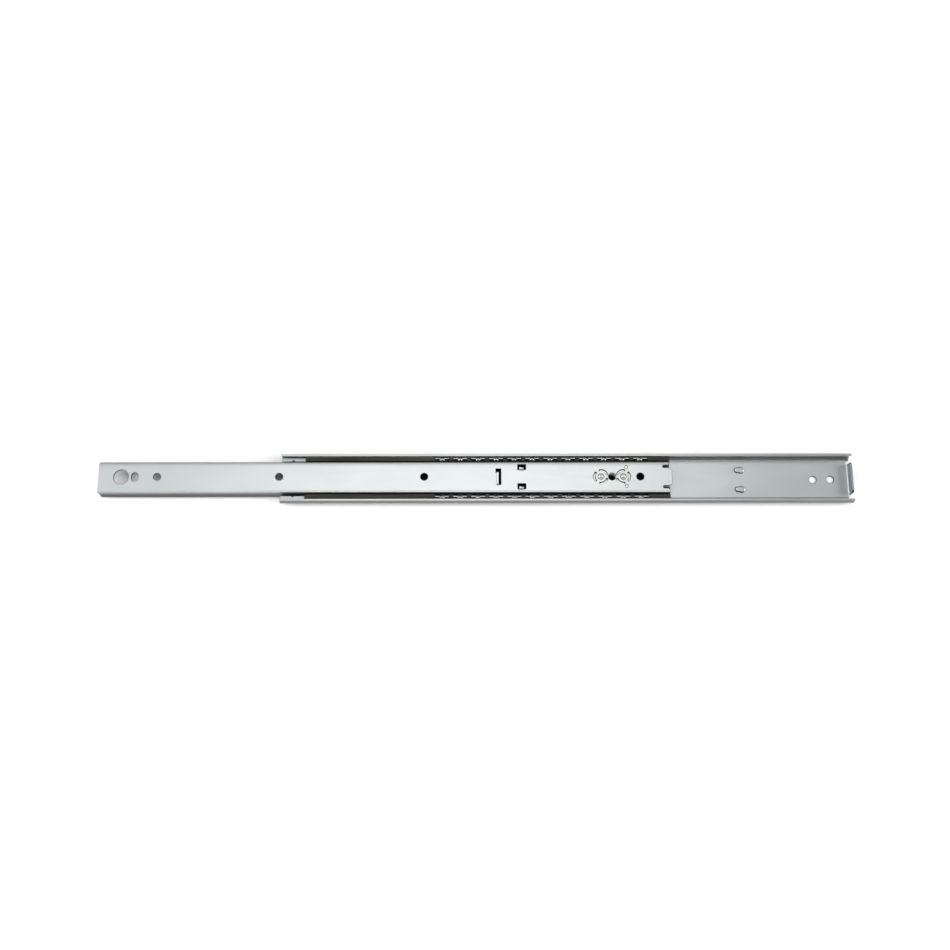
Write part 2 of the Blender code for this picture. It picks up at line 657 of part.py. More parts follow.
def make_ball_retainer(parent, surface):
    floor, legs, shoulders = retainer_sections()
    retainer = placed("ball_retainer", prism_mesh("ball_retainer", floor), parent)
    combine(retainer, "legs", prism_mesh("legs", legs), "UNION")
    combine(retainer, "shoulders", prism_mesh("shoulders", shoulders), "UNION")
    combine(retainer, "windows", prism_mesh("windows", window_cutters()), "DIFFERENCE")
    combine(retainer, "pockets", prism_mesh("pockets", pocket_cutters()), "DIFFERENCE")
    return finished(retainer, surface)


def make_balls(parent, surface):
    bm = bmesh.new()
    bmesh.ops.create_uvsphere(bm, u_segments=BALL_SEGMENTS, v_segments=BALL_RINGS, radius=BALL_RADIUS * MM)
    ball = bpy.data.meshes.new("ball")
    bm.to_mesh(ball)
    bm.free()
    for row, side in (("upper", 1), ("lower", -1)):
        for number, x in enumerate(ball_places(), start=1):
            place = (x, side * BALL_LINE, BALL_HEIGHT)
            finished(placed(f"ball_{row}_{number:02d}", ball, parent, place), surface)


# Front stop -----------------------------------------------------------------

def stop_profile():
    """The front stop's section (across, up): floor, leaning arm, and a top turned in over the race."""
    top = LIP_HEIGHT - STOP_TOP_BELOW_LIP
    low = RETAINER_FLOOR
    sheet = RETAINER_SHEET
    inner = BALL_LINE - STOP_TURN_IN[0]
    outer = BALL_LINE + STOP_TURN_IN[1]
    half = [(BALL_LINE, low), (BALL_LINE + sheet, low + sheet), (outer, top - STOP_SHOULDER), (outer, top),
            (inner, top), (inner, top - sheet), (outer - sheet, top - sheet), (BALL_LINE, low + sheet)]
    return both_halves(half)


def make_front_stop(parent, metal, rivet_metal):
    section = [(stop_profile(), -HALF_LENGTH, STOP_REAR, along_x)]
    stop = placed("front_stop", prism_mesh("front_stop", section), parent)
    rivet_x = STOP_RIVET_FROM_END - HALF_LENGTH
    screw_x = FRONT_HOLE_FROM_END - HALF_LENGTH
    outlines = [circle_points((screw_x, 0), STOP_SCREW_HOLE / 2)]
    inner = BALL_LINE - STOP_TURN_IN[0]
    for side in (-1, 1):
        outlines.append(circle_points((rivet_x, side * STOP_RIVET_HALF_SPACING), STOP_RIVET_DIAMETER / 2 + GAP))
        middle = (STOP_REAR - HALF_LENGTH) / 2
        ends = sorted((side * (inner - CUT_BEYOND), side * (inner + STOP_NOTCH[1])))
        outlines.append(box_points((middle - STOP_NOTCH[0] / 2, ends[0]), (middle + STOP_NOTCH[0] / 2, ends[1])))
    cuts = [(outline, 0, LIP_HEIGHT, along_z) for outline in outlines]
    combine(stop, "holes", prism_mesh("holes", cuts), "DIFFERENCE")
    finished(stop, metal)
    shank = STOP_RIVET_DIAMETER / 2
    head = STOP_RIVET_HEAD / 2
    seat = RETAINER_FLOOR + RETAINER_SHEET + GAP
    profile = [(0, RIVET_TAIL), (shank, RIVET_TAIL), (shank, seat)]
    profile += [(head * share, seat + height) for share, height in RIVET_CROWN]
    for name, side in (("stop_rivet_upper", 1), ("stop_rivet_lower", -1)):
        place = (rivet_x, side * STOP_RIVET_HALF_SPACING, 0)
        finished(placed(name, turned_mesh(name, profile), parent, place), rivet_metal)


def main():
    for obj in list(bpy.data.objects):
        bpy.data.objects.remove(obj, do_unlink=True)
    zinc = material("zinc_plated_steel", (0.62, 0.65, 0.66), 0.38, 0.9)
    drawer_zinc = material("zinc_plated_drawer", (0.66, 0.69, 0.69), 0.36, 0.9)
    stop_zinc = material("zinc_plated_stop", (0.55, 0.60, 0.62), 0.42, 0.9)
    dark = material("black_oxide_retainer", (0.05, 0.05, 0.045), 0.45, 0.7)
    bright = material("polished_ball_steel", (0.75, 0.75, 0.76), 0.12, 1.0)
    nylon = material("natural_nylon", (0.80, 0.79, 0.74), 0.5, 0.0)
    rivet = material("rivet_steel", (0.60, 0.60, 0.58), 0.3, 1.0)

    cabinet = body_empty("cabinet", (0, 0, 0))
    drawer = body_empty("drawer_travel", (-OPEN_OFFSET, 0, 0))
    carriage = body_empty("retainer_travel", (RETAINER_FRONT, 0, 0))
    make_cabinet_member(cabinet, zinc)
    make_front_stop(cabinet, stop_zinc, rivet)
    make_drawer_member(drawer, drawer_zinc)
    make_guide_block(drawer, nylon)
    make_guide_pins(drawer, rivet)
    make_ball_retainer(carriage, dark)
    make_balls(carriage, bright)


main()
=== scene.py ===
"""Looks of the cabinet drawer slide, drawn fully open and lying on its back.

+X runs towards the cabinet's rear, +Y across, +Z out of the web. Sizes are in millimetres and
become metres where a mesh is made.
"""

import math

import bmesh
import bpy
from mathutils import Matrix, Vector


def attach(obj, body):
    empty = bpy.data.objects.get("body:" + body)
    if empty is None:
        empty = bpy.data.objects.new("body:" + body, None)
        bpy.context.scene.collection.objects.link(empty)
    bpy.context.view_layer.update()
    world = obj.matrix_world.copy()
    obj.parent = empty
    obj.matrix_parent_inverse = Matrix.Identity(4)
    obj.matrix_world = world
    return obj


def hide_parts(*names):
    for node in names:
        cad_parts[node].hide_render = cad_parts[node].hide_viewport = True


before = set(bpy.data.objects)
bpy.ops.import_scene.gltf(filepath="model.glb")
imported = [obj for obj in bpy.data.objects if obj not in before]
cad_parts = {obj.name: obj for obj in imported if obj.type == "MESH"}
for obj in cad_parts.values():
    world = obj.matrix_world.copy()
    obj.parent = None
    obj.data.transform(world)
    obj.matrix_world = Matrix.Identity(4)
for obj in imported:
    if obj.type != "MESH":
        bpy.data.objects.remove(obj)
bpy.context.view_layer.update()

MM = 0.001
FINE_STEP = math.radians(6)       # largest turn between the points of a drawn arc
TURNED_STEPS = 48

# Pair
HALF_LENGTH = 178.2
OPEN_OFFSET = 112.7
THICKNESS = 9.6
LIP_HEIGHT = 8.7
SHEET = 1.1
RACE_RADIUS = 2.45
BALL_RADIUS = 2.25
BALL_LINE = 12.2
RACE_EASE_RADIUS = 2.0
FOOT_HEIGHT = 2.3
DRAWER_FRONT = -HALF_LENGTH - OPEN_OFFSET
DRAWER_REAR = HALF_LENGTH - OPEN_OFFSET
FLANGE_REAR = DRAWER_REAR - 1.3
SCREW_HOLE_RADIUS = 2.35
RIM_DEPTH = 0.14                  # roll-over round a punched hole
THROUGH_FACE = THICKNESS + 1      # where a cutter ends above the drawer member's face

# Cabinet member
CABINET_REAR_HOLES = (165.8, 154.9)
CABINET_FRONT_HOLE = -165.8
TAB_HALF_WIDTH = 9.7
TAB_TOP = 8.0
TAB_CORNER = 1.4
BUMP_X = 109.0
BUMP_SIDE = 6.2
RIVET_X = 5.0 - HALF_LENGTH
RIVET_SIDE = 5.5
RIVET_HOLE_RADIUS = 1.6

# Drawer member
DRAWER_BEND = 1.4
DRAWER_HOLES = tuple(DRAWER_FRONT + distance for distance in (36.5, 112.3, 202.3, 319.0, 336.5))
ACCESS_HOLE_X = DRAWER_FRONT + 14.2
ACCESS_HOLE_RADIUS = 4.65
HEIGHT_SLOT_X = DRAWER_FRONT + 22.6
HEIGHT_SLOT_WIDTH = 4.2
HEIGHT_SLOT_LENGTH = 5.8
KEY_SLOT_X = DRAWER_FRONT + 248.4
HOOK_X = DRAWER_FRONT + 262.9
HOOK_SIDE = 6.15
TONGUE_HALF_WIDTH = 5.7
TONGUE_CORNER = 2.5
REAR_SLOT_SIDE = 6.55
REAR_SLOT_RADIUS = 0.85
REAR_CUT_EDGE = 14.65             # clear of the flange's foot

# Guide block
BOLT_X = DRAWER_HOLES[3]
PIN_PLACES = (BOLT_X - 6.95, BOLT_X + 6.95)
PIP_PLACES = [(PIN_PLACES[1] + 1.9, side * 6.05) for side in (-1, 1)]
ARC_SLOT_RADIUS = 4.05
PIN_HOLE_RADIUS = 2.05

# Balls and their places
RETAINER_FRONT = -162.9
RETAINER_TOP = 8.0
RETAINER_SHEET = 0.6
RETAINER_FLOOR_REAR = 49.8
RETAINER_LEG_REAR = 62.8
BALL_COUNT = 12
BALL_PITCH = 11.24
LAST_BALL_X = FLANGE_REAR - 18.1
FIRST_BALL_X = LAST_BALL_X - BALL_PITCH * (BALL_COUNT - 1)
BALL_HEIGHT = FOOT_HEIGHT + 0.22 + (RACE_RADIUS + SHEET) * math.sin(math.radians(40))


# Flat outlines, in millimetres ---------------------------------------------------

def arc_points(centre, radius, start, end, step=FINE_STEP):
    """Points on an arc, both ends included."""
    steps = max(2, math.ceil(abs(end - start) / step))
    angles = [start + (end - start) * i / steps for i in range(steps + 1)]
    return [(centre[0] + radius * math.cos(a), centre[1] + radius * math.sin(a)) for a in angles]


def circle_points(centre, radius, count=40):
    return [(centre[0] + radius * math.cos(2 * math.pi * i / count),
             centre[1] + radius * math.sin(2 * math.pi * i / count)) for i in range(count)]


def box_points(low, high):
    return [low, (high[0], low[1]), high, (low[0], high[1])]


def rounded_box_points(low, high, radius, step=math.radians(15)):
    points = []
    corners = ((high[0], high[1]), (low[0], high[1]), (low[0], low[1]), (high[0], low[1]))
    for quarter, (x, y) in enumerate(corners):
        centre = (x - radius if x == high[0] else x + radius, y - radius if y == high[1] else y + radius)
        points += arc_points(centre, radius, quarter * math.pi / 2, (quarter + 1) * math.pi / 2, step)
    return points


def slot_points(centre, width, length):
    """A round-ended slot that is long in the second direction."""
    reach = (length - width) / 2
    top = arc_points((centre[0], centre[1] + reach), width / 2, 0, math.pi)
    return top + arc_points((centre[0], centre[1] - reach), width / 2, math.pi, 2 * math.pi)


def arc_band_points(centre, radius, width, middle, span):
    """A curved slot of even width about a centre, with round ends."""
    start, end = middle - span / 2, middle + span / 2
    outer = arc_points(centre, radius + width / 2, start, end)
    inner = arc_points(centre, radius - width / 2, end, start)
    ends = [(centre[0] + radius * math.cos(a), centre[1] + radius * math.sin(a)) for a in (end, start)]
    far = arc_points(ends[0], width / 2, end, end + math.pi, math.radians(20))
    near = arc_points(ends[1], width / 2, start + math.pi, start + 2 * math.pi, math.radians(20))
    return outer + far[1:-1] + inner + near[1:-1]


def mirrored(points):
    return [(x, -y) for x, y in reversed(points)]


def both_halves(points, others=None):
    """A whole section from the points (across, up) of its +Y half and, where they differ, of the other."""
    return points + [(-across, up) for across, up in reversed(others or points)]


class SheetPath:
    """One face of a bent sheet, drawn as lines and arcs; the other face lies on its right."""

    def __init__(self, start, heading, thickness):
        self.point = Vector(start)
        self.heading = heading
        self.thickness = thickness
        self.face = []
        self.back = []
        self.mark()

    def mark(self):
        right = Vector((math.sin(self.heading), -math.cos(self.heading)))
        self.face.append(tuple(self.point))
        self.back.append(tuple(self.point + self.thickness * right))

    def line(self, length):
        self.point = self.point + length * Vector((math.cos(self.heading), math.sin(self.heading)))
        self.mark()

    def turn(self, radius, angle):
        """An arc to the left for a positive angle and to the right for a negative one."""
        side = math.copysign(1, angle)
        left = Vector((-math.sin(self.heading), math.cos(self.heading)))
        centre = self.point + side * radius * left
        steps = max(2, math.ceil(abs(angle) / FINE_STEP))
        for _ in range(steps):
            self.heading += angle / steps
            left = Vector((-math.sin(self.heading), math.cos(self.heading)))
            self.point = centre - side * radius * left
            self.mark()


# Meshes -------------------------------------------------------------------------

def along_x(point, depth):
    return Vector((depth, point[0], point[1])) * MM


def along_y(point, depth):
    return Vector((point[0], depth, point[1])) * MM


def along_z(point, depth):
    return Vector((point[0], point[1], depth)) * MM


def mesh_from(bm, name):
    mesh = bpy.data.meshes.new(name)
    bm.to_mesh(mesh)
    bm.free()
    return mesh


def prisms(name, pieces):
    """A mesh of prisms that stand apart: each piece is (outline, low, high, place)."""
    bm = bmesh.new()
    for outline, low, high, place in pieces:
        start = bm.faces.new([bm.verts.new(place(point, low)) for point in outline])
        made = bmesh.ops.extrude_face_region(bm, geom=[start])
        moved = [item for item in made["geom"] if isinstance(item, bmesh.types.BMVert)]
        bmesh.ops.translate(bm, verts=moved, vec=Vector(place((0, 0), high)) - Vector(place((0, 0), low)))
    bmesh.ops.recalc_face_normals(bm, faces=bm.faces)
    return mesh_from(bm, name)


def turned(name, profile, places, steps=TURNED_STEPS):
    """Solids of revolution about upright axes. The (radius, height) points start and end on the axis."""
    bm = bmesh.new()
    for place in places:
        verts = [bm.verts.new(Vector((place[0] + r, place[1], place[2] + z)) * MM) for r, z in profile]
        edges = [bm.edges.new(pair) for pair in zip(verts, verts[1:])]
        bmesh.ops.spin(bm, geom=verts + edges, axis=(0, 0, 1), cent=Vector(place) * MM,
                       angle=2 * math.pi, steps=steps, use_merge=True)
    bmesh.ops.remove_doubles(bm, verts=bm.verts, dist=0.0005 * MM)
    bmesh.ops.recalc_face_normals(bm, faces=bm.faces)
    return mesh_from(bm, name)


def flat_face(name, outline, place, depth):
    """One flat face on an outline, for a tree to draw out."""
    bm = bmesh.new()
    bm.faces.new([bm.verts.new(place(point, depth)) for point in outline])
    return mesh_from(bm, name)


def linked(name, mesh):
    obj = bpy.data.objects.new(name, mesh)
    bpy.context.scene.collection.objects.link(obj)
    return obj


def combine(owner, name, mesh, operation):
    """Adds or cuts a shape. The helper object is removed when the piece is finished."""
    modifier = owner.modifiers.new(name, "BOOLEAN")
    modifier.operation = operation
    modifier.solver = "EXACT"
    modifier.object = linked(f"{owner.name}_{name}", mesh)


def cut(owner, name, pieces):
    combine(owner, name, prisms(name, pieces), "DIFFERENCE")


def add(owner, name, pieces):
    combine(owner, name, prisms(name, pieces), "UNION")


def break_edges(obj, width, segments=2, angle=32):
    """The small round that a press or a tumbler leaves on every edge."""
    bevel = obj.modifiers.new("broken_edges", "BEVEL")
    bevel.width = width * MM
    bevel.segments = segments
    bevel.limit_method = "ANGLE"
    bevel.angle_limit = math.radians(angle)
    bevel.harden_normals = False
    bevel.use_clamp_overlap = True


def tree_input(obj, modifier, **values):
    """Sets a tree's named inputs by their sockets' identifiers."""
    sockets = {item.name: item.identifier for item in modifier.node_group.interface.items_tree
               if item.item_type == "SOCKET" and item.in_out == "INPUT"}
    for name, value in values.items():
        modifier[sockets[name.replace("_", " ").capitalize()]] = value


def plain(obj, surface, sharp=34):
    """Turns the evaluated object into a plain mesh with its finish, and clears its helpers away."""
    bpy.context.view_layer.update()
    graph = bpy.context.evaluated_depsgraph_get()
    mesh = bpy.data.meshes.new_from_object(obj.evaluated_get(graph))
    helpers = [m.object for m in obj.modifiers if m.type == "BOOLEAN"]
    name = obj.name
    bpy.data.objects.remove(obj)
    for item in helpers:
        bpy.data.objects.remove(item)
    bm = bmesh.new()
    bm.from_mesh(mesh)
    bmesh.ops.remove_doubles(bm, verts=bm.verts, dist=0.0008 * MM)
    bmesh.ops.dissolve_degenerate(bm, edges=bm.edges, dist=0.0005 * MM)
    bmesh.ops.recalc_face_normals(bm, faces=bm.faces)
    bm.to_mesh(mesh)
    bm.free()
    mesh.name = name
    mesh.materials.clear()
    mesh.materials.append(surface)
    mesh.shade_smooth()
    mesh.set_sharp_from_angle(angle=math.radians(sharp))
    made = linked(name, mesh)
    weight = made.modifiers.new("face_weights", "WEIGHTED_NORMAL")
    weight.keep_sharp = True
    weight.weight = 60
    bpy.context.view_layer.update()
    final = bpy.data.meshes.new_from_object(made.evaluated_get(bpy.context.evaluated_depsgraph_get()))
    made.modifiers.clear()
    made.data = final
    bpy.data.meshes.remove(mesh)
    final.name = name
    return made


def paint_shade_on_faces(obj, amount):
    """Stores on every face how much painted shade it gets, from the face's middle in millimetres and its
    normal.
    """
    values = obj.data.attributes.new("dull", "FLOAT", "FACE")
    for face in obj.data.polygons:
        values.data[face.index].value = amount(face.center / MM, face.normal)


# Trees --------------------------------------------------------------------------

def new_tree(name, inputs):
    """A tree with a Geometry input, the named inputs and a Geometry output."""
    tree = bpy.data.node_groups.new(name, "GeometryNodeTree")
    tree.interface.new_socket("Geometry", in_out="INPUT", socket_type="NodeSocketGeometry")
    for label, kind in inputs:
        tree.interface.new_socket(label, in_out="INPUT", socket_type=kind)
    tree.interface.new_socket("Geometry", in_out="OUTPUT", socket_type="NodeSocketGeometry")
    return tree, tree.nodes.new("NodeGroupInput"), tree.nodes.new("NodeGroupOutput")


def finish_tree(tree, given, geometry, out):
    """Ends a tree with real geometry in its finish."""
    realize = tree.nodes.new("GeometryNodeRealizeInstances")
    paint = tree.nodes.new("GeometryNodeSetMaterial")
    tree.links.new(geometry, realize.inputs["Geometry"])
    tree.links.new(realize.outputs["Geometry"], paint.inputs["Geometry"])
    tree.links.new(given.outputs["Surface"], paint.inputs["Material"])
    tree.links.new(paint.outputs["Geometry"], out.inputs[0])
    return tree


def row_of_points(tree, given, start):
    """As many points as there are balls, at even pitch from the start."""
    step = tree.nodes.new("ShaderNodeCombineXYZ")
    line = tree.nodes.new("GeometryNodeMeshLine")
    line.mode = "OFFSET"
    tree.links.new(given.outputs["Pitch"], step.inputs["X"])
    tree.links.new(given.outputs["Count"], line.inputs["Count"])
    tree.links.new(start, line.inputs["Start Location"])
    tree.links.new(step.outputs[0], line.inputs["Offset"])
    return line.outputs["Mesh"]


def rolled_channel_tree():
    """Draws a section face out along the slide and closes both ends."""
    tree, given, out = new_tree("rolled_channel", [
        ("Length", "NodeSocketFloat"), ("Surface", "NodeSocketMaterial")])
    reach = tree.nodes.new("ShaderNodeCombineXYZ")
    extrude = tree.nodes.new("GeometryNodeExtrudeMesh")
    extrude.mode = "FACES"
    extrude.inputs["Individual"].default_value = False
    flip = tree.nodes.new("GeometryNodeFlipFaces")
    join = tree.nodes.new("GeometryNodeJoinGeometry")
    merge = tree.nodes.new("GeometryNodeMergeByDistance")
    merge.inputs["Distance"].default_value = 0.0005 * MM
    link = tree.links.new
    link(given.outputs["Length"], reach.inputs["X"])
    link(given.outputs["Geometry"], extrude.inputs["Mesh"])
    link(reach.outputs[0], extrude.inputs["Offset"])
    link(given.outputs["Geometry"], flip.inputs["Mesh"])
    link(extrude.outputs["Mesh"], join.inputs[0])
    link(flip.outputs["Mesh"], join.inputs[0])
    link(join.outputs[0], merge.inputs["Geometry"])
    return finish_tree(tree, given, merge.outputs["Geometry"], out)


def ball_row_tree():
    """Polished balls at even pitch along the slide."""
    tree, given, out = new_tree("ball_row", [
        ("Count", "NodeSocketInt"), ("Pitch", "NodeSocketFloat"), ("Radius", "NodeSocketFloat"),
        ("First", "NodeSocketVector"), ("Surface", "NodeSocketMaterial")])
    ball = tree.nodes.new("GeometryNodeMeshUVSphere")
    ball.inputs["Segments"].default_value = 40
    ball.inputs["Rings"].default_value = 24
    place = tree.nodes.new("GeometryNodeInstanceOnPoints")
    link = tree.links.new
    link(given.outputs["Radius"], ball.inputs["Radius"])
    link(row_of_points(tree, given, given.outputs["First"]), place.inputs["Points"])
    link(ball.outputs["Mesh"], place.inputs["Instance"])
    return finish_tree(tree, given, place.outputs["Instances"], out)


def pocket_punch_tree():
    """Punches the same pocket out of the retainer once for every ball."""
    tree, given, out = new_tree("pocket_punch", [
        ("Punch", "NodeSocketObject"), ("Count", "NodeSocketInt"), ("Pitch", "NodeSocketFloat"),
        ("First", "NodeSocketFloat"), ("Surface", "NodeSocketMaterial")])
    start = tree.nodes.new("ShaderNodeCombineXYZ")
    punch = tree.nodes.new("GeometryNodeObjectInfo")
    place = tree.nodes.new("GeometryNodeInstanceOnPoints")
    punches = tree.nodes.new("GeometryNodeRealizeInstances")
    punched = tree.nodes.new("GeometryNodeMeshBoolean")
    punched.operation = "DIFFERENCE"
    punched.solver = "EXACT"
    link = tree.links.new
    link(given.outputs["First"], start.inputs["X"])
    link(given.outputs["Punch"], punch.inputs["Object"])
    link(row_of_points(tree, given, start.outputs[0]), place.inputs["Points"])
    link(punch.outputs["Geometry"], place.inputs["Instance"])
    link(place.outputs["Instances"], punches.inputs["Geometry"])
    link(given.outputs["Geometry"], punched.inputs[0])
    link(punches.outputs["Geometry"], punched.inputs[1])
    return finish_tree(tree, given, punched.outputs[0], out)


def drawn_channel(name, section, low, high, surface):
    """A channel drawn from a section (across, up) between two places along the slide."""
    turns = sum(a[0] * b[1] - b[0] * a[1] for a, b in zip(section, section[1:] + section[:1]))
    if turns < 0:
        section = section[::-1]
    obj = linked(name, flat_face(name, section, along_x, low))
    modifier = obj.modifiers.new("rolled_channel", "NODES")
    modifier.node_group = CHANNEL_TREE
    tree_input(obj, modifier, length=(high - low) * MM, surface=surface)
    return obj


# Finishes -----------------------------------------------------------------------

def shader_group(name, inputs, outputs):
    group = bpy.data.node_groups.new(name, "ShaderNodeTree")
    for label, kind, value in inputs:
        socket = group.interface.new_socket(label, in_out="INPUT", socket_type=kind)
        socket.default_value = value
    for label, kind in outputs:
        group.interface.new_socket(label, in_out="OUTPUT", socket_type=kind)
    return group, group.nodes.new("NodeGroupInput"), group.nodes.new("NodeGroupOutput")


def math_node(tree, operation, first, second=None):
    node = tree.nodes.new("ShaderNodeMath")
    node.operation = operation
    for index, value in enumerate((first, second)):
        if value is None:
            continue
        if isinstance(value, (int, float)):
            node.inputs[index].default_value = value
        else:
            tree.links.new(value, node.inputs[index])
    return node.outputs[0]


def noise(tree, vector, scale, detail, roughness, distortion=0.0):
    """Noise whose scale is a number or another socket."""
    node = tree.nodes.new("ShaderNodeTexNoise")
    if isinstance(scale, (int, float)):
        node.inputs["Scale"].default_value = scale
    else:
        tree.links.new(scale, node.inputs["Scale"])
    node.inputs["Detail"].default_value = detail
    node.inputs["Roughness"].default_value = roughness
    node.inputs["Distortion"].default_value = distortion
    tree.links.new(vector, node.inputs["Vector"])
    return node.outputs["Fac"]


def stretched(tree, scale):
    """Object coordinates scaled by axis."""
    coordinates = tree.nodes.new("ShaderNodeTexCoord")
    mapping = tree.nodes.new("ShaderNodeMapping")
    mapping.inputs["Scale"].default_value = scale
    tree.links.new(coordinates.outputs["Object"], mapping.inputs["Vector"])
    return mapping.outputs["Vector"]


def position(tree):
    """The separate X, Y and Z of the object coordinates."""
    coordinates = tree.nodes.new("ShaderNodeTexCoord")
    parts = tree.nodes.new("ShaderNodeSeparateXYZ")
    tree.links.new(coordinates.outputs["Object"], parts.inputs[0])
    return parts.outputs


def product(tree, masks):
    """One mask where all the given masks meet."""
    result = masks[0]
    for mask in masks[1:]:
        result = math_node(tree, "MULTIPLY", result, mask)
    return result


def map_range(tree, value, low, high, to_low, to_high):
    node = tree.nodes.new("ShaderNodeMapRange")
    node.inputs["From Min"].default_value = low
    node.inputs["From Max"].default_value = high
    node.inputs["To Min"].default_value = to_low
    node.inputs["To Max"].default_value = to_high
    tree.links.new(value, node.inputs["Value"])
    return node.outputs["Result"]


def mix_colour(tree, factor, first, second):
    node = tree.nodes.new("ShaderNodeMix")
    node.data_type = "RGBA"
    tree.links.new(factor, node.inputs["Factor"])
    for index, value in ((6, first), (7, second)):
        if isinstance(value, tuple):
            node.inputs[index].default_value = (*value, 1)
        else:
            tree.links.new(value, node.inputs[index])
    return node.outputs[2]


def rolling_grain_group():
    """Fine lines that the mill leaves along the sheet, and the slow blotches of a plating bath."""
    group, given, out = shader_group(
        "rolling_grain",
        [("Line scale", "NodeSocketFloat", 2600.0), ("Blotch scale", "NodeSocketFloat", 55.0)],
        [("Lines", "NodeSocketFloat"), ("Blotches", "NodeSocketFloat"), ("Specks", "NodeSocketFloat"),
         ("Height", "NodeSocketFloat")])
    lines = noise(group, stretched(group, (0.012, 1, 1)), given.outputs["Line scale"], 4, 0.65)
    blotches = noise(group, stretched(group, (0.45, 1, 1)), given.outputs["Blotch scale"], 3, 0.5, 0.4)
    specks = noise(group, stretched(group, (1, 1, 1)), 1900, 2, 0.5)
    height = math_node(group, "ADD", math_node(group, "MULTIPLY", lines, 0.7),
                       math_node(group, "MULTIPLY", specks, 0.3))
    group.links.new(lines, out.inputs["Lines"])
    group.links.new(blotches, out.inputs["Blotches"])
    group.links.new(specks, out.inputs["Specks"])
    group.links.new(height, out.inputs["Height"])
    return group


def race_track_group():
    """Where the balls run: a mask round the ball line, strongest in the raceway itself."""
    group, given, out = shader_group(
        "race_track",
        [("Across", "NodeSocketFloat", 0.0142), ("Up", "NodeSocketFloat", 0.0048),
         ("Reach", "NodeSocketFloat", 0.0016)],
        [("Track", "NodeSocketFloat")])
    place = position(group)
    across = math_node(group, "SUBTRACT", math_node(group, "ABSOLUTE", place["Y"]), given.outputs["Across"])
    up = math_node(group, "SUBTRACT", place["Z"], given.outputs["Up"])
    far = math_node(group, "SQRT", math_node(group, "ADD", math_node(group, "MULTIPLY", across, across),
                                             math_node(group, "MULTIPLY", up, up)))
    share = math_node(group, "DIVIDE", far, given.outputs["Reach"])
    group.links.new(map_range(group, share, 0.6, 1.1, 1.0, 0.0), out.inputs["Track"])
    return group


def channel_shade_group():
    """Painted shade low in the channels, along the stretch where the retainer works."""
    group, given, out = shader_group(
        "greased_stretch",
        [("Front", "NodeSocketFloat", -0.16), ("Rear", "NodeSocketFloat", 0.06),
         ("Across", "NodeSocketFloat", 0.0095), ("Below", "NodeSocketFloat", 0.0073),
         ("Within", "NodeSocketFloat", 0.01475)],
        [("Grease", "NodeSocketFloat")])
    place = position(group)
    across = math_node(group, "ABSOLUTE", place["Y"])
    shaded_in_channel = product(group, (math_node(group, "LESS_THAN", place["Z"], given.outputs["Below"]),
                              math_node(group, "GREATER_THAN", place["X"], given.outputs["Front"]),
                              math_node(group, "LESS_THAN", place["X"], given.outputs["Rear"]),
                              math_node(group, "GREATER_THAN", across, given.outputs["Across"]),
                              math_node(group, "LESS_THAN", across, given.outputs["Within"])))
    group.links.new(shaded_in_channel, out.inputs["Grease"])
    return group


def tongue_group():
    """The top edges of the retainer's tongues, either side of every ball's pocket, where the finish is drawn
    lighter.
    """
    group, given, out = shader_group(
        "rubbed_tongues",
        [("First", "NodeSocketFloat", 0.0), ("Last", "NodeSocketFloat", 0.1),
         ("Pitch", "NodeSocketFloat", 0.01)],
        [("Rubbed", "NodeSocketFloat")])
    place = position(group)
    first, last = given.outputs["First"], given.outputs["Last"]
    along = math_node(group, "DIVIDE", math_node(group, "SUBTRACT", place["X"], first), given.outputs["Pitch"])
    from_ball = math_node(group, "PINGPONG", along, 0.5)
    from_line = math_node(group, "ABSOLUTE", math_node(
        group, "SUBTRACT", math_node(group, "ABSOLUTE", place["Y"]), BALL_LINE * MM))
    start = math_node(group, "SUBTRACT", first, 5 * MM)
    finish = math_node(group, "ADD", last, 5 * MM)
    lighter_edges = product(group, (math_node(group, "LESS_THAN", from_ball, 0.375),
                             math_node(group, "LESS_THAN", from_line, 0.34 * MM),
                             math_node(group, "GREATER_THAN", place["Z"], (RETAINER_TOP - 0.3) * MM),
                             math_node(group, "GREATER_THAN", place["X"], start),
                             math_node(group, "LESS_THAN", place["X"], finish)))
    group.links.new(lighter_edges, out.inputs["Rubbed"])
    return group


def placed_group(tree, group, **values):
    node = tree.nodes.new("ShaderNodeGroup")
    node.node_tree = group
    for name, value in values.items():
        node.inputs[name.replace("_", " ").capitalize()].default_value = value
    return node


def new_finish(name):
    surface = bpy.data.materials.new(name)
    surface.use_nodes = True
    tree = surface.node_tree
    return surface, tree, tree.nodes["Principled BSDF"]


def with_painted_shade(tree, colour, dark):
    """Mixes a dark colour in by the faces' own value: painted shade on sheared edges and rolled flanks."""
    dull = tree.nodes.new("ShaderNodeAttribute")
    dull.attribute_type = "GEOMETRY"
    dull.attribute_name = "dull"
    return mix_colour(tree, dull.outputs["Fac"], colour, dark)


def bumped(tree, shader, height, strength, distance):
    bump = tree.nodes.new("ShaderNodeBump")
    bump.inputs["Strength"].default_value = strength
    bump.inputs["Distance"].default_value = distance * MM
    tree.links.new(height, bump.inputs["Height"])
    tree.links.new(bump.outputs["Normal"], shader.inputs["Normal"])


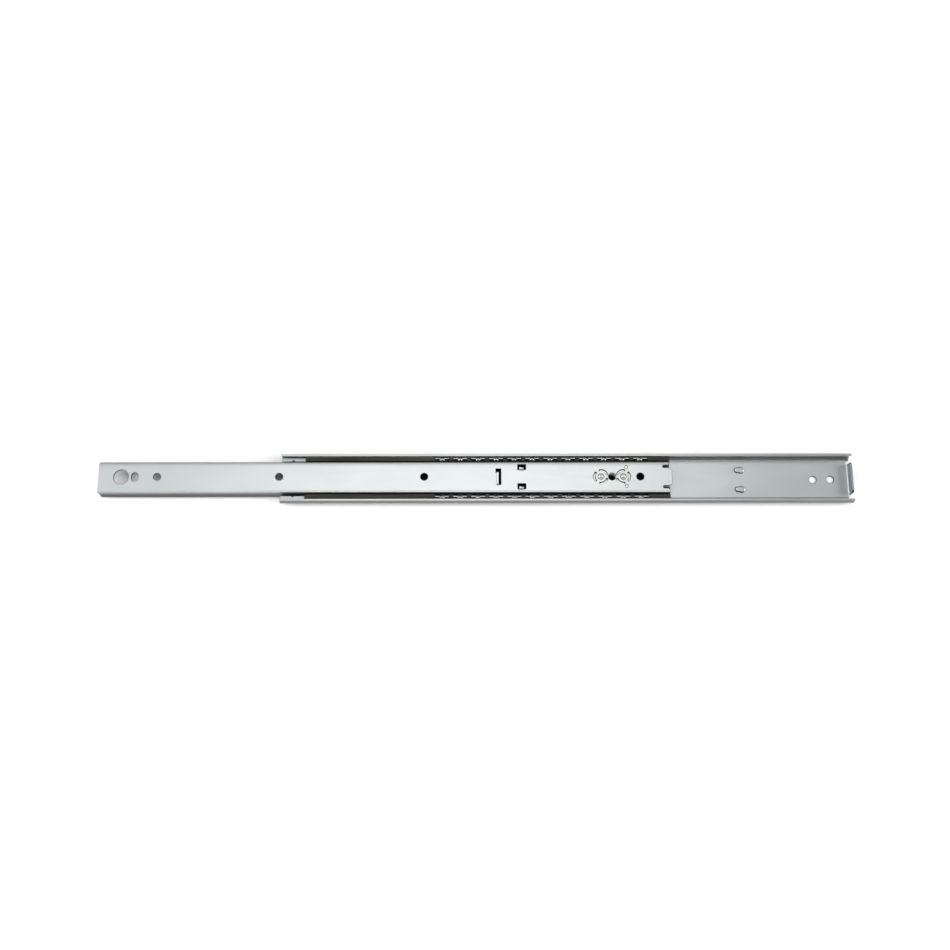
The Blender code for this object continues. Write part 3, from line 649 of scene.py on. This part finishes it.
def zinc_finish(name, pale, deep, rough, track_across, track_up, track_colour):
    """Bright zinc on rolled steel: pale blue-grey with slow blotches, browner where the balls run, with
    painted shade low in the covered channels and on the faces that store it.
    """
    surface, tree, shader = new_finish(name)
    grain = placed_group(tree, GRAIN)
    track = placed_group(tree, TRACK, across=track_across * MM, up=track_up * MM, reach=2.9 * MM)
    colour = mix_colour(tree, map_range(tree, grain.outputs["Blotches"], 0.3, 0.7, 0.0, 1.0), pale, deep)
    lined = mix_colour(tree, map_range(tree, grain.outputs["Lines"], 0.35, 0.8, 0.0, 0.45), colour, deep)
    tracked = mix_colour(tree, math_node(tree, "MULTIPLY", track.outputs["Track"], 0.8), lined, track_colour)
    # Painted shade low in the covered channels where the retainer works, near-black (0.02, 0.019, 0.016).
    channel_shade = placed_group(tree, CHANNEL_SHADE, front=RETAINER_FRONT * MM, rear=FLANGE_REAR * MM, across=9.5 * MM,
                          below=7.3 * MM)
    shaded_in_channel = mix_colour(tree, math_node(tree, "MULTIPLY", channel_shade.outputs["Grease"], 0.85), tracked,
                         (0.02, 0.019, 0.016))
    # Painted shade: the dark colour (0.05, 0.047, 0.040), mixed in by each face's stored value.
    tree.links.new(with_painted_shade(tree, shaded_in_channel, (0.05, 0.047, 0.040)), shader.inputs["Base Color"])
    spread = map_range(tree, grain.outputs["Lines"], 0.3, 0.75, rough - 0.05, rough + 0.07)
    tree.links.new(math_node(tree, "ADD", spread, math_node(tree, "MULTIPLY", grain.outputs["Specks"], 0.06)),
                   shader.inputs["Roughness"])
    shader.inputs["Metallic"].default_value = 0.92
    bumped(tree, shader, grain.outputs["Height"], 0.12, 0.02)
    return surface


def retainer_finish():
    """Black oxide with drawn lines, with painted shade low down, and lighter on the tongues' top edges."""
    surface, tree, shader = new_finish("black_oxide")
    grain = placed_group(tree, GRAIN, line_scale=1500.0, blotch_scale=140.0)
    streaks = map_range(tree, grain.outputs["Lines"], 0.42, 0.68, 0.0, 1.0)
    base = mix_colour(tree, streaks, (0.020, 0.019, 0.015), (0.082, 0.078, 0.064))
    tongues = placed_group(tree, TONGUES, first=FIRST_BALL_X * MM, last=LAST_BALL_X * MM,
                           pitch=BALL_PITCH * MM)
    # Painted shade on the retainer below 7.3 mm, near-black (0.006, 0.006, 0.005).
    channel_shade = placed_group(tree, CHANNEL_SHADE, front=-1.0, rear=1.0, across=0.0, below=7.3 * MM, within=1.0)
    shaded_low = mix_colour(tree, channel_shade.outputs["Grease"], base, (0.006, 0.006, 0.005))
    # The tongues' top edges are drawn lighter, in (0.40, 0.41, 0.40).
    tree.links.new(mix_colour(tree, tongues.outputs["Rubbed"], shaded_low, (0.40, 0.41, 0.40)),
                   shader.inputs["Base Color"])
    tree.links.new(map_range(tree, grain.outputs["Blotches"], 0.3, 0.7, 0.36, 0.5),
                   shader.inputs["Roughness"])
    shader.inputs["Metallic"].default_value = 0.9
    bumped(tree, shader, grain.outputs["Height"], 0.15, 0.02)
    return surface


def solid_finish(name, line_scale, blotch_scale, pale, deep, smoothest, roughest):
    """One solid material that varies a little in tone and polish."""
    surface, tree, shader = new_finish(name)
    grain = placed_group(tree, GRAIN, line_scale=line_scale, blotch_scale=blotch_scale)
    tree.links.new(mix_colour(tree, grain.outputs["Blotches"], pale, deep), shader.inputs["Base Color"])
    tree.links.new(map_range(tree, grain.outputs["Specks"], 0.3, 0.8, smoothest, roughest),
                   shader.inputs["Roughness"])
    return surface, tree, shader, grain.outputs["Specks"]


def ball_finish():
    surface, _, shader, _ = solid_finish("polished_ball_steel", 900.0, 300.0, (0.46, 0.46, 0.45),
                                         (0.38, 0.38, 0.37), 0.24, 0.34)
    shader.inputs["Metallic"].default_value = 1.0
    return surface


def nylon_finish():
    surface, tree, shader, specks = solid_finish("natural_nylon", 700.0, 220.0, (0.80, 0.80, 0.77),
                                                 (0.72, 0.72, 0.69), 0.38, 0.52)
    shader.inputs["Subsurface Weight"].default_value = 0.15
    shader.inputs["Subsurface Radius"].default_value = (0.002, 0.002, 0.0018)
    bumped(tree, shader, specks, 0.1, 0.03)
    return surface


def rivet_finish():
    surface, tree, shader, specks = solid_finish("bright_rivet_steel", 1200.0, 260.0, (0.66, 0.66, 0.65),
                                                 (0.52, 0.52, 0.50), 0.26, 0.42)
    shader.inputs["Metallic"].default_value = 1.0
    bumped(tree, shader, specks, 0.12, 0.02)
    return surface


# Cabinet member -----------------------------------------------------------------

def cabinet_half(bend, bead):
    """Half of the cabinet member's section (across, up), by its bend and how far its lip is pressed in."""
    arc = math.radians(34)
    rise = math.pi / 2 - arc
    race_start = (BALL_LINE + RACE_RADIUS * math.cos(arc), BALL_HEIGHT - RACE_RADIUS * math.sin(arc))
    bend_top = SHEET + bend * (1 - math.cos(rise))
    slope = (race_start[1] - bend_top) / math.sin(rise)
    web_end = race_start[0] - slope * math.cos(rise) - bend * math.sin(rise)
    path = SheetPath((0, SHEET), 0, SHEET)
    path.line(web_end)
    path.turn(bend, rise)
    path.line(slope)
    path.turn(RACE_RADIUS, 2 * arc)
    path.turn(RACE_EASE_RADIUS, -arc)
    path.line(LIP_HEIGHT - path.point.y)
    inside = path.point.x
    lip = [(inside - bead, LIP_HEIGHT), (inside - bead, LIP_HEIGHT - 0.3), (inside, LIP_HEIGHT - 0.3 - bead)]
    return path.back[1:] + lip + path.face[-2:0:-1]


def cabinet_section():
    """The -Y side has the easier bend; the +Y lip is pressed in at its edge."""
    return both_halves(cabinet_half(1.0, 0.4), cabinet_half(2.8, 0.05))


def rear_tab_outline():
    """The stop tab's section (along, up): the web's end turned up square."""
    inside, outside = 0.5, 0.5 + SHEET
    centre = (HALF_LENGTH - outside, outside)
    root = HALF_LENGTH - 4.4
    under = arc_points(centre, outside, -math.pi / 2, 0)
    over = arc_points(centre, inside, 0, -math.pi / 2)
    top = [(HALF_LENGTH, TAB_TOP), (HALF_LENGTH - SHEET, TAB_TOP)]
    return [(root, 0)] + under + top + over + [(root, SHEET)]


def bump_profile(radius, height, base):
    """Half of a pressed lobe: a flared foot, a steep side and a rounded crown."""
    return [(0, base), (radius + 0.22, base), (radius + 0.22, base + 0.02), (radius + 0.08, base + 0.12),
            (radius - 0.02, base + 0.4), (radius - 0.08, base + height * 0.75),
            (radius - 0.22, base + height * 0.92), (radius - 0.5, base + height), (0, base + height)]


def cabinet_painted_shade(place, normal):
    """Painted shade: darker at sheared edges and hole rims, lips, the rolled flanks and the web's bends, in
    the tab's face and round the bumps.
    """
    across, up = abs(place.y), place.z
    outward = normal.y * place.y > 0
    if place.x > HALF_LENGTH - 2.4 and across < 9.8 and up > 1.15:
        if up < 2.2 and normal.z > 0.3:
            return 0.0
        return 0.66 if normal.x < -0.6 else 1.0 if abs(normal.y) > 0.3 else 0.3
    if across < 9 and up < 1.2:
        rim = up < SHEET - 0.05 and normal.z > 0.999
        return 1.0 if abs(normal.z) < 0.9 else 0.85 if rim else 0.0
    if across < 9:
        return 1.0 if abs(normal.z) < 0.9 else 0.1
    if up > LIP_HEIGHT - 0.15:
        return 0.2 if abs(normal.z) > 0.9 else 0.7
    if across > 12.4 and outward and (across > 14.9 or normal.z < 0):
        return 0.65
    if across > 12.4 and up > 6.6:
        return 0.7
    if across > 10.9 and up < 3.2 and normal.z < 0.99:
        return 0.5
    return 0.25 if across > 12.6 else 0.0


def make_cabinet_member(surface):
    member = drawn_channel("cabinet_member_skin", cabinet_section(), -HALF_LENGTH, HALF_LENGTH, surface)
    relief = [(HALF_LENGTH - 1.1, -12.2), (HALF_LENGTH + 1, -12.2), (HALF_LENGTH + 1, 12.2),
              (HALF_LENGTH - 1.1, 12.2), (HALF_LENGTH - 1.7, 11.6), (HALF_LENGTH - 1.7, -11.6)]
    cut(member, "end_cut", [(relief, -1, 9.7, along_z)])
    add(member, "rear_tab", [(rear_tab_outline(), -TAB_HALF_WIDTH, TAB_HALF_WIDTH, along_y)])
    corners = []
    for side in (-1, 1):
        beyond = side * (TAB_HALF_WIDTH + 1)
        corner = [(side * (TAB_HALF_WIDTH - TAB_CORNER), TAB_TOP + 0.01), (beyond, TAB_TOP + 0.01),
                  (beyond, TAB_TOP - TAB_CORNER - 1)]
        corners.append((corner, HALF_LENGTH - 2.2, HALF_LENGTH + 1, along_x))
    cut(member, "tab_corners", corners)
    for name, shift, radius in (("bump_fronts", -1.35, 1.75), ("bump_rears", 1.0, 2.1)):
        places = [(BUMP_X + shift, side * BUMP_SIDE, 0) for side in (-1, 1)]
        lobes = turned(name, bump_profile(radius, 1.15, SHEET - 0.05), places)
        combine(member, name, lobes, "UNION")
    for name, shift, radius in (("dent_fronts", -1.35, 1.2), ("dent_rears", 1.0, 1.5)):
        places = [(BUMP_X + shift, side * BUMP_SIDE, -0.3) for side in (-1, 1)]
        profile = [(0, 0), (radius, 0), (radius - 0.15, 1.0), (radius - 0.5, 1.3), (0, 1.35)]
        dents = turned(name, profile, places)
        combine(member, name, dents, "DIFFERENCE")
    outlines = [circle_points((x, 0), SCREW_HOLE_RADIUS) for x in (*CABINET_REAR_HOLES, CABINET_FRONT_HOLE)]
    outlines += [circle_points((RIVET_X, side * RIVET_SIDE), RIVET_HOLE_RADIUS) for side in (-1, 1)]
    holes = [(outline, -1, SHEET + 1, along_z) for outline in outlines]
    cut(member, "holes", holes)
    rims = [(circle_points((x, 0), SCREW_HOLE_RADIUS + 0.28), SHEET - RIM_DEPTH, SHEET + 1, along_z)
            for x in CABINET_REAR_HOLES]
    cut(member, "rims", rims)
    break_edges(member, 0.12)
    made = plain(member, surface)
    # Painted shade, stored on each face for the finish.
    paint_shade_on_faces(made, cabinet_painted_shade)
    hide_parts("cabinet_member")
    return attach(made, "cabinet")


# Drawer member ------------------------------------------------------------------

def drawer_half(crown):
    """Half of the drawer member's section (across, up). Its face rolls off by the crown's angle."""
    up, down, ease, bend = math.radians(20), math.radians(40), RACE_EASE_RADIUS, DRAWER_BEND
    wall = BALL_LINE - RACE_RADIUS * math.cos(up) + ease * (1 - math.cos(up))
    ease_start = BALL_HEIGHT + RACE_RADIUS * math.sin(up) + ease * math.sin(up)
    path = SheetPath((0, THICKNESS), 0, SHEET)
    path.line(wall - bend - 2.1)
    if crown:
        path.turn(14, -crown)
    path.line(wall - bend - path.point.x)
    path.turn(bend, -math.pi / 2 + crown)
    path.line(path.point.y - ease_start)
    path.turn(ease, -up)
    path.turn(RACE_RADIUS, up + down)
    flare = math.cos(down)
    path.line((path.point.y - FOOT_HEIGHT) / flare)
    path.back[-1] = (path.face[-1][0] - SHEET / flare, FOOT_HEIGHT)
    return path.face[1:] + path.back[:0:-1]


def drawer_section():
    """The face rolls off a little more along its +Y side, as it left the rolls."""
    return both_halves(drawer_half(math.radians(6)), drawer_half(0))


def arc_outlines(width, span=math.radians(74)):
    """Three curved slots round each pin; the two sets mirror each other about the bolt hole."""
    outlines = []
    for x, turn in zip(PIN_PLACES, (math.pi, 0)):
        for third in range(3):
            middle = turn + third * 2 * math.pi / 3
            outlines.append(arc_band_points((x, 0), ARC_SLOT_RADIUS, width, middle, span))
    return outlines


def rear_cut_outline(wider=0.0, flare=0.0):
    """What is cut from one side of the drawer member's rear end, leaving the tongue and an ear."""
    slot_end = FLANGE_REAR - 4.6 + REAR_SLOT_RADIUS
    corner = (DRAWER_REAR - TONGUE_CORNER, TONGUE_HALF_WIDTH - TONGUE_CORNER)
    points = [(DRAWER_REAR + 1, corner[1])] + arc_points(corner, TONGUE_CORNER - wider, 0, math.pi / 2)
    points += arc_points((slot_end, REAR_SLOT_SIDE), REAR_SLOT_RADIUS + wider, 1.5 * math.pi, math.pi / 2)
    points += [(FLANGE_REAR - 1.3 - flare, 7.4 + wider), (FLANGE_REAR - wider, 8.7 + flare)]
    return points + [(FLANGE_REAR - wider, REAR_CUT_EDGE), (DRAWER_REAR + 1, REAR_CUT_EDGE)]


def punched_holes(wider=0.0):
    """The drawer member's plain holes: screw holes, access hole and upright slot."""
    outlines = [circle_points((x, 0), SCREW_HOLE_RADIUS + wider) for x in DRAWER_HOLES]
    outlines.append(circle_points((ACCESS_HOLE_X, 0), ACCESS_HOLE_RADIUS + wider, 56))
    width, length = HEIGHT_SLOT_WIDTH + 2 * wider, HEIGHT_SLOT_LENGTH + 2 * wider
    outlines.append(slot_points((HEIGHT_SLOT_X, 0), width, length))
    return outlines


def drawer_openings():
    outlines = punched_holes()
    outlines += [circle_points((x, 0), PIN_HOLE_RADIUS) for x in PIN_PLACES]
    outlines += arc_outlines(1.5)
    outlines += [circle_points(place, 1.1, 28) for place in PIP_PLACES]
    for side in (-1, 1):
        y = side * HOOK_SIDE
        outlines.append(rounded_box_points((HOOK_X - 2.75, y - 1.9), (HOOK_X + 2.75, y + 1.9), 0.35))
    left = KEY_SLOT_X - 1.8
    outlines.append([(left + 1.8, -5.3), (left + 3.6, -5.3), (left + 3.6, 5.3), (left, 5.3), (left, 2.4),
                     (left + 1.8, 2.4)])
    return outlines


def worn_rims():
    """The shallow roll-over that the punch leaves round the holes and the rear cut."""
    wider = 0.26
    side = rear_cut_outline(wider, 0.2)
    edge = TONGUE_HALF_WIDTH - TONGUE_CORNER - 0.01
    end = box_points((DRAWER_REAR - wider, -edge), (DRAWER_REAR + 1, edge))
    return punched_holes(wider) + [side, mirrored(side), end]


def drawer_painted_shade(place, normal):
    """Painted shade: darker at sheared edges and hole rims, down the rolled flanges, at the face's bends and
    the bent-up tabs, and at the ears.
    """
    across, up = abs(place.y), place.z
    if up > THICKNESS + 0.02:
        return 0.0 if normal.z > 0.6 and up > 12 else 0.45
    if across < 8.0:
        rim = up < THICKNESS - 0.1 and normal.z > 0.999
        return 1.0 if abs(normal.z) < 0.9 or up < 8 else 0.8 if rim else 0.0
    if up < 8.6:
        return 0.7 if up < 7.4 else 0.48
    return 0.3 if place.y > 9.0 else 0.0 if place.y > -9.4 else 0.2


def mounting_tabs():
    """The long tab beside the key slot and the two hooks, each lanced out of the face and bent up."""
    tabs = []
    for side in (-1, 1):
        edge = side * HOOK_SIDE - 1.9
        outline = [(edge - 0.2, 8.55), (edge + 0.6, 8.55), (edge + 0.9, 8.7), (edge + 1.1, 9.1),
                   (edge + 1.1, 11.6), (edge, 11.6), (edge, 9.9), (edge - 0.2, 9.59)]
        tabs.append((outline, HOOK_X - 1.6, HOOK_X + 1.1, along_x))
    bar = KEY_SLOT_X
    outline = [(bar - 1.3, 8.55), (bar - 0.5, 8.55), (bar - 0.15, 8.7), (bar + 0.01, 9.1), (bar + 0.01, 12.2),
               (bar - 1.09, 12.2), (bar - 1.09, 9.9), (bar - 1.3, 9.59)]
    return tabs + [(outline, -5.1, 2.2, along_y)]


def hook_barbs():
    """The raised front end of each hook."""
    barbs = []
    for side in (-1, 1):
        edge = side * HOOK_SIDE - 1.9
        outline = box_points((edge + 0.01, 11.0), (edge + 1.09, 12.2))
        barbs.append((outline, HOOK_X - 1.59, HOOK_X - 0.45, along_x))
    return barbs


def retainer_ears():
    """What meets the retainer at the rear: an ear out of each flange, and its root under the rear slot."""
    ears, roots = [], []
    for side in (-1, 1):
        ends = sorted((side * 6.3, side * 12.95))
        outline = rounded_box_points((ends[0], 3.2), (ends[1], 6.4), 0.5)
        ears.append((outline, FLANGE_REAR - SHEET, FLANGE_REAR, along_x))
        ends = sorted((side * 5.8, side * 7.6))
        outline = box_points((FLANGE_REAR - 4.7, ends[0]), (FLANGE_REAR - 0.01, ends[1]))
        roots.append((outline, 5.9, 6.39, along_z))
    return ears, roots


def make_drawer_member(surface):
    member = drawn_channel("drawer_member_skin", drawer_section(), DRAWER_FRONT, DRAWER_REAR, surface)
    side = rear_cut_outline()
    cuts = [(outline, -1, THROUGH_FACE, along_z) for outline in (side, mirrored(side))]
    cut(member, "rear_end", cuts)
    corner = [(DRAWER_FRONT - 1, 1.3), (DRAWER_FRONT + 2.0, 1.3), (DRAWER_FRONT - 1, 4.3)]
    cut(member, "foot_corner", [(corner, -15, 15, along_y)])
    holes = [(outline, THICKNESS - 2.2, THROUGH_FACE, along_z) for outline in drawer_openings()]
    cut(member, "openings", holes)
    rims = [(outline, THICKNESS - RIM_DEPTH, THROUGH_FACE, along_z) for outline in worn_rims()]
    cut(member, "rims", rims)
    add(member, "tabs", mounting_tabs())
    add(member, "barbs", hook_barbs())
    ears, roots = retainer_ears()
    add(member, "ears", ears)
    add(member, "ear_roots", roots)
    break_edges(member, 0.24)
    made = plain(member, surface)
    # Painted shade, stored on each face for the finish.
    paint_shade_on_faces(made, drawer_painted_shade)
    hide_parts("drawer_member")
    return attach(made, "drawer")


# Guide block and pins -----------------------------------------------------------

def make_guide_block(surface):
    half = 10.02 - SHEET - 0.6
    x = BOLT_X
    top = THICKNESS - SHEET - 0.3
    body = [(rounded_box_points((x - 14, -half), (x + 14, half), 1.5), 2.6, top, along_z)]
    block = linked("guide_block_skin", prisms("guide_block_skin", body))
    bores = [(circle_points((x, 0), 2.6), 0, 9.6, along_z)]
    bores += [(circle_points((place, 0), PIN_HOLE_RADIUS), top - 4.4, 9.6, along_z) for place in PIN_PLACES]
    for side in (-1, 1):
        hollow = rounded_box_points((x - 11.5, side * 5.2 - 1.6), (x + 11.5, side * 5.2 + 1.6), 0.8)
        bores.append((hollow, 2.0, 4.2, along_z))
    bores += [(outline, 4.5, 9.6, along_z) for outline in arc_outlines(1.62, math.radians(75))]
    bores += [(circle_points(place, 1.2, 28), 4.5, 9.6, along_z) for place in PIP_PLACES]
    cut(block, "bores", bores)
    ribs = [([(x, y - 0.24) for x, y in outline], 4.4, THICKNESS - 0.35, along_z)
            for outline in arc_outlines(0.72, math.radians(64))]
    ribs += [(circle_points(place, 0.75, 28), 4.4, THICKNESS - 0.2, along_z) for place in PIP_PLACES]
    add(block, "ribs", ribs)
    break_edges(block, 0.12)
    made = plain(block, surface)
    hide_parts("guide_block")
    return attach(made, "drawer")


def make_guide_pins(surface):
    """Two bright pins with dished heads."""
    bottom = THICKNESS - SHEET - 4.4 + 0.3
    profile = [(0, bottom), (1.6, bottom), (1.75, bottom + 0.15), (1.75, 9.5), (1.70, 9.62), (1.58, 9.71),
               (1.42, 9.75), (1.22, 9.74), (1.08, 9.68), (0.95, 9.52), (0.75, 9.38), (0.4, 9.31), (0, 9.30)]
    for name, x in zip(("guide_pin_front", "guide_pin_rear"), PIN_PLACES):
        pin = linked(name + "_skin", turned(name, profile, [(x, 0, 0)]))
        made = plain(pin, surface)
        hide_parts(name)
        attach(made, "drawer")


# Ball retainer ------------------------------------------------------------------

def retainer_section():
    """The retainer's section (across, up): floor, legs on the ball line, and shoulders over the races."""
    leg_in, leg_out = BALL_LINE - 0.3, BALL_LINE + 0.3
    inner, outer, under = BALL_LINE - 1.7, BALL_LINE + 1.35, RETAINER_TOP - RETAINER_SHEET
    half = [(leg_out - 0.55, 1.4)] + arc_points((leg_out - 0.7, 2.1), 0.7, -math.pi / 2, 0)[1:]
    half += [(leg_out, under - 0.15), (leg_out + 0.15, under), (outer, under)]
    half += [(outer, RETAINER_TOP - 0.25), (outer - 0.25, RETAINER_TOP)]
    half += [(inner + 0.25, RETAINER_TOP), (inner, RETAINER_TOP - 0.25), (inner, under)]
    half += [(leg_in - 0.15, under), (leg_in, under - 0.15), (leg_in, 2.15), (leg_in - 0.15, 2.0)]
    return both_halves(half)


def pocket_punch():
    """One pair of ball pockets with their windows, at the slide's middle: the tongues stand between."""
    mouth, radius = 1.1, BALL_RADIUS + 0.25
    half_angle = math.asin(mouth / radius)
    hole = arc_points((0, BALL_HEIGHT), radius, math.pi / 2 + half_angle, 2.5 * math.pi - half_angle)
    outline = hole + [(mouth, 9.0), (-mouth, 9.0)]
    pieces = []
    for side in (-1, 1):
        pieces.append((outline, side * BALL_LINE - 0.62, side * BALL_LINE + 0.62, along_y))
    return pieces


def window_punch():
    """One pair of windows through the shoulders, either side of the tongues."""
    pieces = []
    for side in (-1, 1):
        for near, far in ((BALL_LINE - 1.35, BALL_LINE - 0.3), (BALL_LINE + 0.3, BALL_LINE + 1.0)):
            ends = sorted((side * near, side * far))
            pieces.append((rounded_box_points((-4.45, ends[0]), (4.45, ends[1]), 0.2), 6.2, 9.0, along_z))
    return pieces


def make_ball_retainer(surface):
    retainer = drawn_channel("ball_retainer_skin", retainer_section(), RETAINER_FRONT, FLANGE_REAR, surface)
    floor_end = box_points((RETAINER_FLOOR_REAR, -11.6), (70, 11.6))
    cut(retainer, "floor_end", [(floor_end, 1, 6.0, along_z)])
    leg_ends = []
    for y in (-BALL_LINE, BALL_LINE):
        leg_ends.append((box_points((RETAINER_LEG_REAR, y - 1.6), (70, y + 1.6)), 1, 7.4, along_z))
    cut(retainer, "leg_ends", leg_ends)
    helpers = []
    for name, pieces in (("ball_pocket_punch", pocket_punch()), ("window_punch", window_punch())):
        punch = linked(name, prisms(name, pieces))
        helpers.append(punch)
        modifier = retainer.modifiers.new(name, "NODES")
        modifier.node_group = PUNCH_TREE
        tree_input(retainer, modifier, punch=punch, count=BALL_COUNT, pitch=BALL_PITCH * MM,
                   first=FIRST_BALL_X * MM, surface=surface)
    break_edges(retainer, 0.06, segments=1)
    made = plain(retainer, surface)
    for punch in helpers:
        bpy.data.objects.remove(punch)
    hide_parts("ball_retainer")
    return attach(made, "retainer")


def make_balls(surface):
    for row, side in (("upper", 1), ("lower", -1)):
        mesh = bpy.data.meshes.new(f"balls_{row}")
        balls = linked(f"balls_{row}_skin", mesh)
        modifier = balls.modifiers.new("ball_row", "NODES")
        modifier.node_group = BALL_TREE
        tree_input(balls, modifier, count=BALL_COUNT, pitch=BALL_PITCH * MM, radius=BALL_RADIUS * MM,
                   first=(FIRST_BALL_X * MM, side * BALL_LINE * MM, BALL_HEIGHT * MM), surface=surface)
        made = plain(balls, surface, sharp=180)
        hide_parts(*[f"ball_{row}_{number:02d}" for number in range(1, BALL_COUNT + 1)])
        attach(made, "retainer")


# Front stop ---------------------------------------------------------------------

def stop_section():
    low, top, inner, outer, sheet = 1.4, 4.9, BALL_LINE - 1.0, BALL_LINE + 1.55, 0.6
    half = [(BALL_LINE - 0.2, low), (BALL_LINE + 0.15, low + 0.1), (BALL_LINE + 0.42, low + 0.36),
            (outer - 0.1, top - 1.25), (outer, top - 0.9)]
    half += arc_points((outer - 0.3, top - 0.3), 0.3, 0, math.pi / 2, math.radians(15))
    half += [(inner, top), (inner, top - sheet), (outer - sheet - 0.1, top - sheet),
             (outer - sheet, top - sheet - 0.2), (BALL_LINE - 0.05, low + sheet + 0.15),
             (BALL_LINE - 0.3, low + sheet)]
    return both_halves(half)


def make_front_stop(surface, rivet_surface):
    rear = 15.0 - HALF_LENGTH
    stop = drawn_channel("front_stop_skin", stop_section(), -HALF_LENGTH, rear, surface)
    holes = [(circle_points((12.4 - HALF_LENGTH, 0), 4.3), 0, LIP_HEIGHT, along_z)]
    middle = (rear - HALF_LENGTH) / 2
    for side in (-1, 1):
        rivet_hole = circle_points((RIVET_X, side * RIVET_SIDE), RIVET_HOLE_RADIUS)
        holes.append((rivet_hole, 0, LIP_HEIGHT, along_z))
        ends = sorted((side * 10.2, side * 12.0))
        notch = box_points((middle - 0.6, ends[0]), (middle + 0.6, ends[1]))
        holes.append((notch, 0, LIP_HEIGHT, along_z))
    cut(stop, "holes", holes)
    break_edges(stop, 0.1)
    made = plain(stop, surface)
    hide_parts("front_stop")
    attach(made, "cabinet")
    profile = [(0, 0.1), (1.3, 0.1), (1.3, 2.3), (2.4, 2.3), (2.5, 2.38), (2.46, 2.55), (2.2, 2.78),
               (1.6, 3.0), (0.9, 3.09), (0, 3.1)]
    for name, side in (("stop_rivet_upper", 1), ("stop_rivet_lower", -1)):
        rivet = linked(name + "_skin", turned(name, profile, [(RIVET_X, side * RIVET_SIDE, 0)]))
        made = plain(rivet, rivet_surface)
        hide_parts(name)
        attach(made, "cabinet")


# Studio -------------------------------------------------------------------------

def softbox(name, place, aim, size, power):
    data = bpy.data.lights.new(name, "AREA")
    data.shape = "RECTANGLE"
    data.size, data.size_y = size
    data.energy = power
    lamp = bpy.data.objects.new(name, data)
    lamp.location = place
    lamp.rotation_euler = (Vector(aim) - Vector(place)).to_track_quat("-Z", "Y").to_euler()
    bpy.context.scene.collection.objects.link(lamp)


def make_studio():
    bm = bmesh.new()
    bmesh.ops.create_grid(bm, x_segments=1, y_segments=1, size=3.0)
    floor = linked("studio_floor", mesh_from(bm, "studio_floor"))
    surface, _, shader = new_finish("white_sweep")
    shader.inputs["Base Color"].default_value = (0.93, 0.93, 0.93, 1)
    shader.inputs["Roughness"].default_value = 0.9
    shader.inputs["Specular IOR Level"].default_value = 0.0
    shader.inputs["Emission Color"].default_value = (1, 1, 1, 1)
    shader.inputs["Emission Strength"].default_value = 0.02
    floor.data.materials.append(surface)
    centre = (-0.057, 0, 0.009)
    softbox("overhead_softbox", (-0.08, 0.26, 1.25), (-0.08, 0, 0.009), (0.85, 0.56), 3.0)
    softbox("left_side_light", (-1.45, 0.0, 0.9), centre, (0.8, 1.0), 20)
    softbox("right_side_light", (1.4, 0.0, 0.85), centre, (0.7, 1.0), 18.5)
    softbox("front_fill", (-0.06, -1.0, 0.9), centre, (1.2, 0.3), 5.5)
    world = bpy.data.worlds.new("studio_walls")
    world.use_nodes = True
    world.node_tree.nodes["Background"].inputs["Color"].default_value = (0.28, 0.28, 0.275, 1)
    world.node_tree.nodes["Background"].inputs["Strength"].default_value = 1.0
    bpy.context.scene.world = world
    bpy.context.scene.view_settings.view_transform = "Standard"


def make_camera():
    tilt, distance, roll = math.radians(14.6), 0.7103, math.radians(-0.06)
    aim = Vector((-57.04, 1.30, 8.7)) * MM
    back = Vector((0, -math.sin(tilt), math.cos(tilt)))
    right = Vector((1, 0, 0))
    up = back.cross(right)
    turned_right = right * math.cos(roll) + up * math.sin(roll)
    turned_up = up * math.cos(roll) - right * math.sin(roll)
    data = bpy.data.cameras.new("camera")
    data.lens = 43.29
    data.sensor_width = 36
    data.clip_start = 0.01
    camera = bpy.data.objects.new("camera", data)
    turn = Matrix((turned_right, turned_up, back)).transposed()
    camera.matrix_world = Matrix.Translation(aim + back * distance) @ turn.to_4x4()
    bpy.context.scene.collection.objects.link(camera)
    bpy.context.scene.camera = camera


CHANNEL_TREE = rolled_channel_tree()
BALL_TREE = ball_row_tree()
PUNCH_TREE = pocket_punch_tree()
GRAIN = rolling_grain_group()
TRACK = race_track_group()
CHANNEL_SHADE = channel_shade_group()
TONGUES = tongue_group()

cabinet_zinc = zinc_finish("cabinet_zinc", pale=(0.55, 0.58, 0.59), deep=(0.50, 0.535, 0.55), rough=0.32,
                           track_across=13.4, track_up=5.0, track_colour=(0.44, 0.42, 0.375))
drawer_zinc = zinc_finish("drawer_zinc", pale=(0.61, 0.635, 0.635), deep=(0.565, 0.595, 0.60), rough=0.34,
                          track_across=11.0, track_up=4.6, track_colour=(0.42, 0.41, 0.37))
stop_zinc = zinc_finish("stop_zinc", pale=(0.56, 0.60, 0.62), deep=(0.50, 0.55, 0.58), rough=0.42,
                        track_across=12.0, track_up=4.0, track_colour=(0.50, 0.53, 0.55))
black_oxide = retainer_finish()
ball_steel = ball_finish()
nylon = nylon_finish()
rivet_steel = rivet_finish()

make_cabinet_member(cabinet_zinc)
make_front_stop(stop_zinc, rivet_steel)
make_drawer_member(drawer_zinc)
make_guide_block(nylon)
make_guide_pins(rivet_steel)
make_ball_retainer(black_oxide)
make_balls(ball_steel)
make_studio()
make_camera()
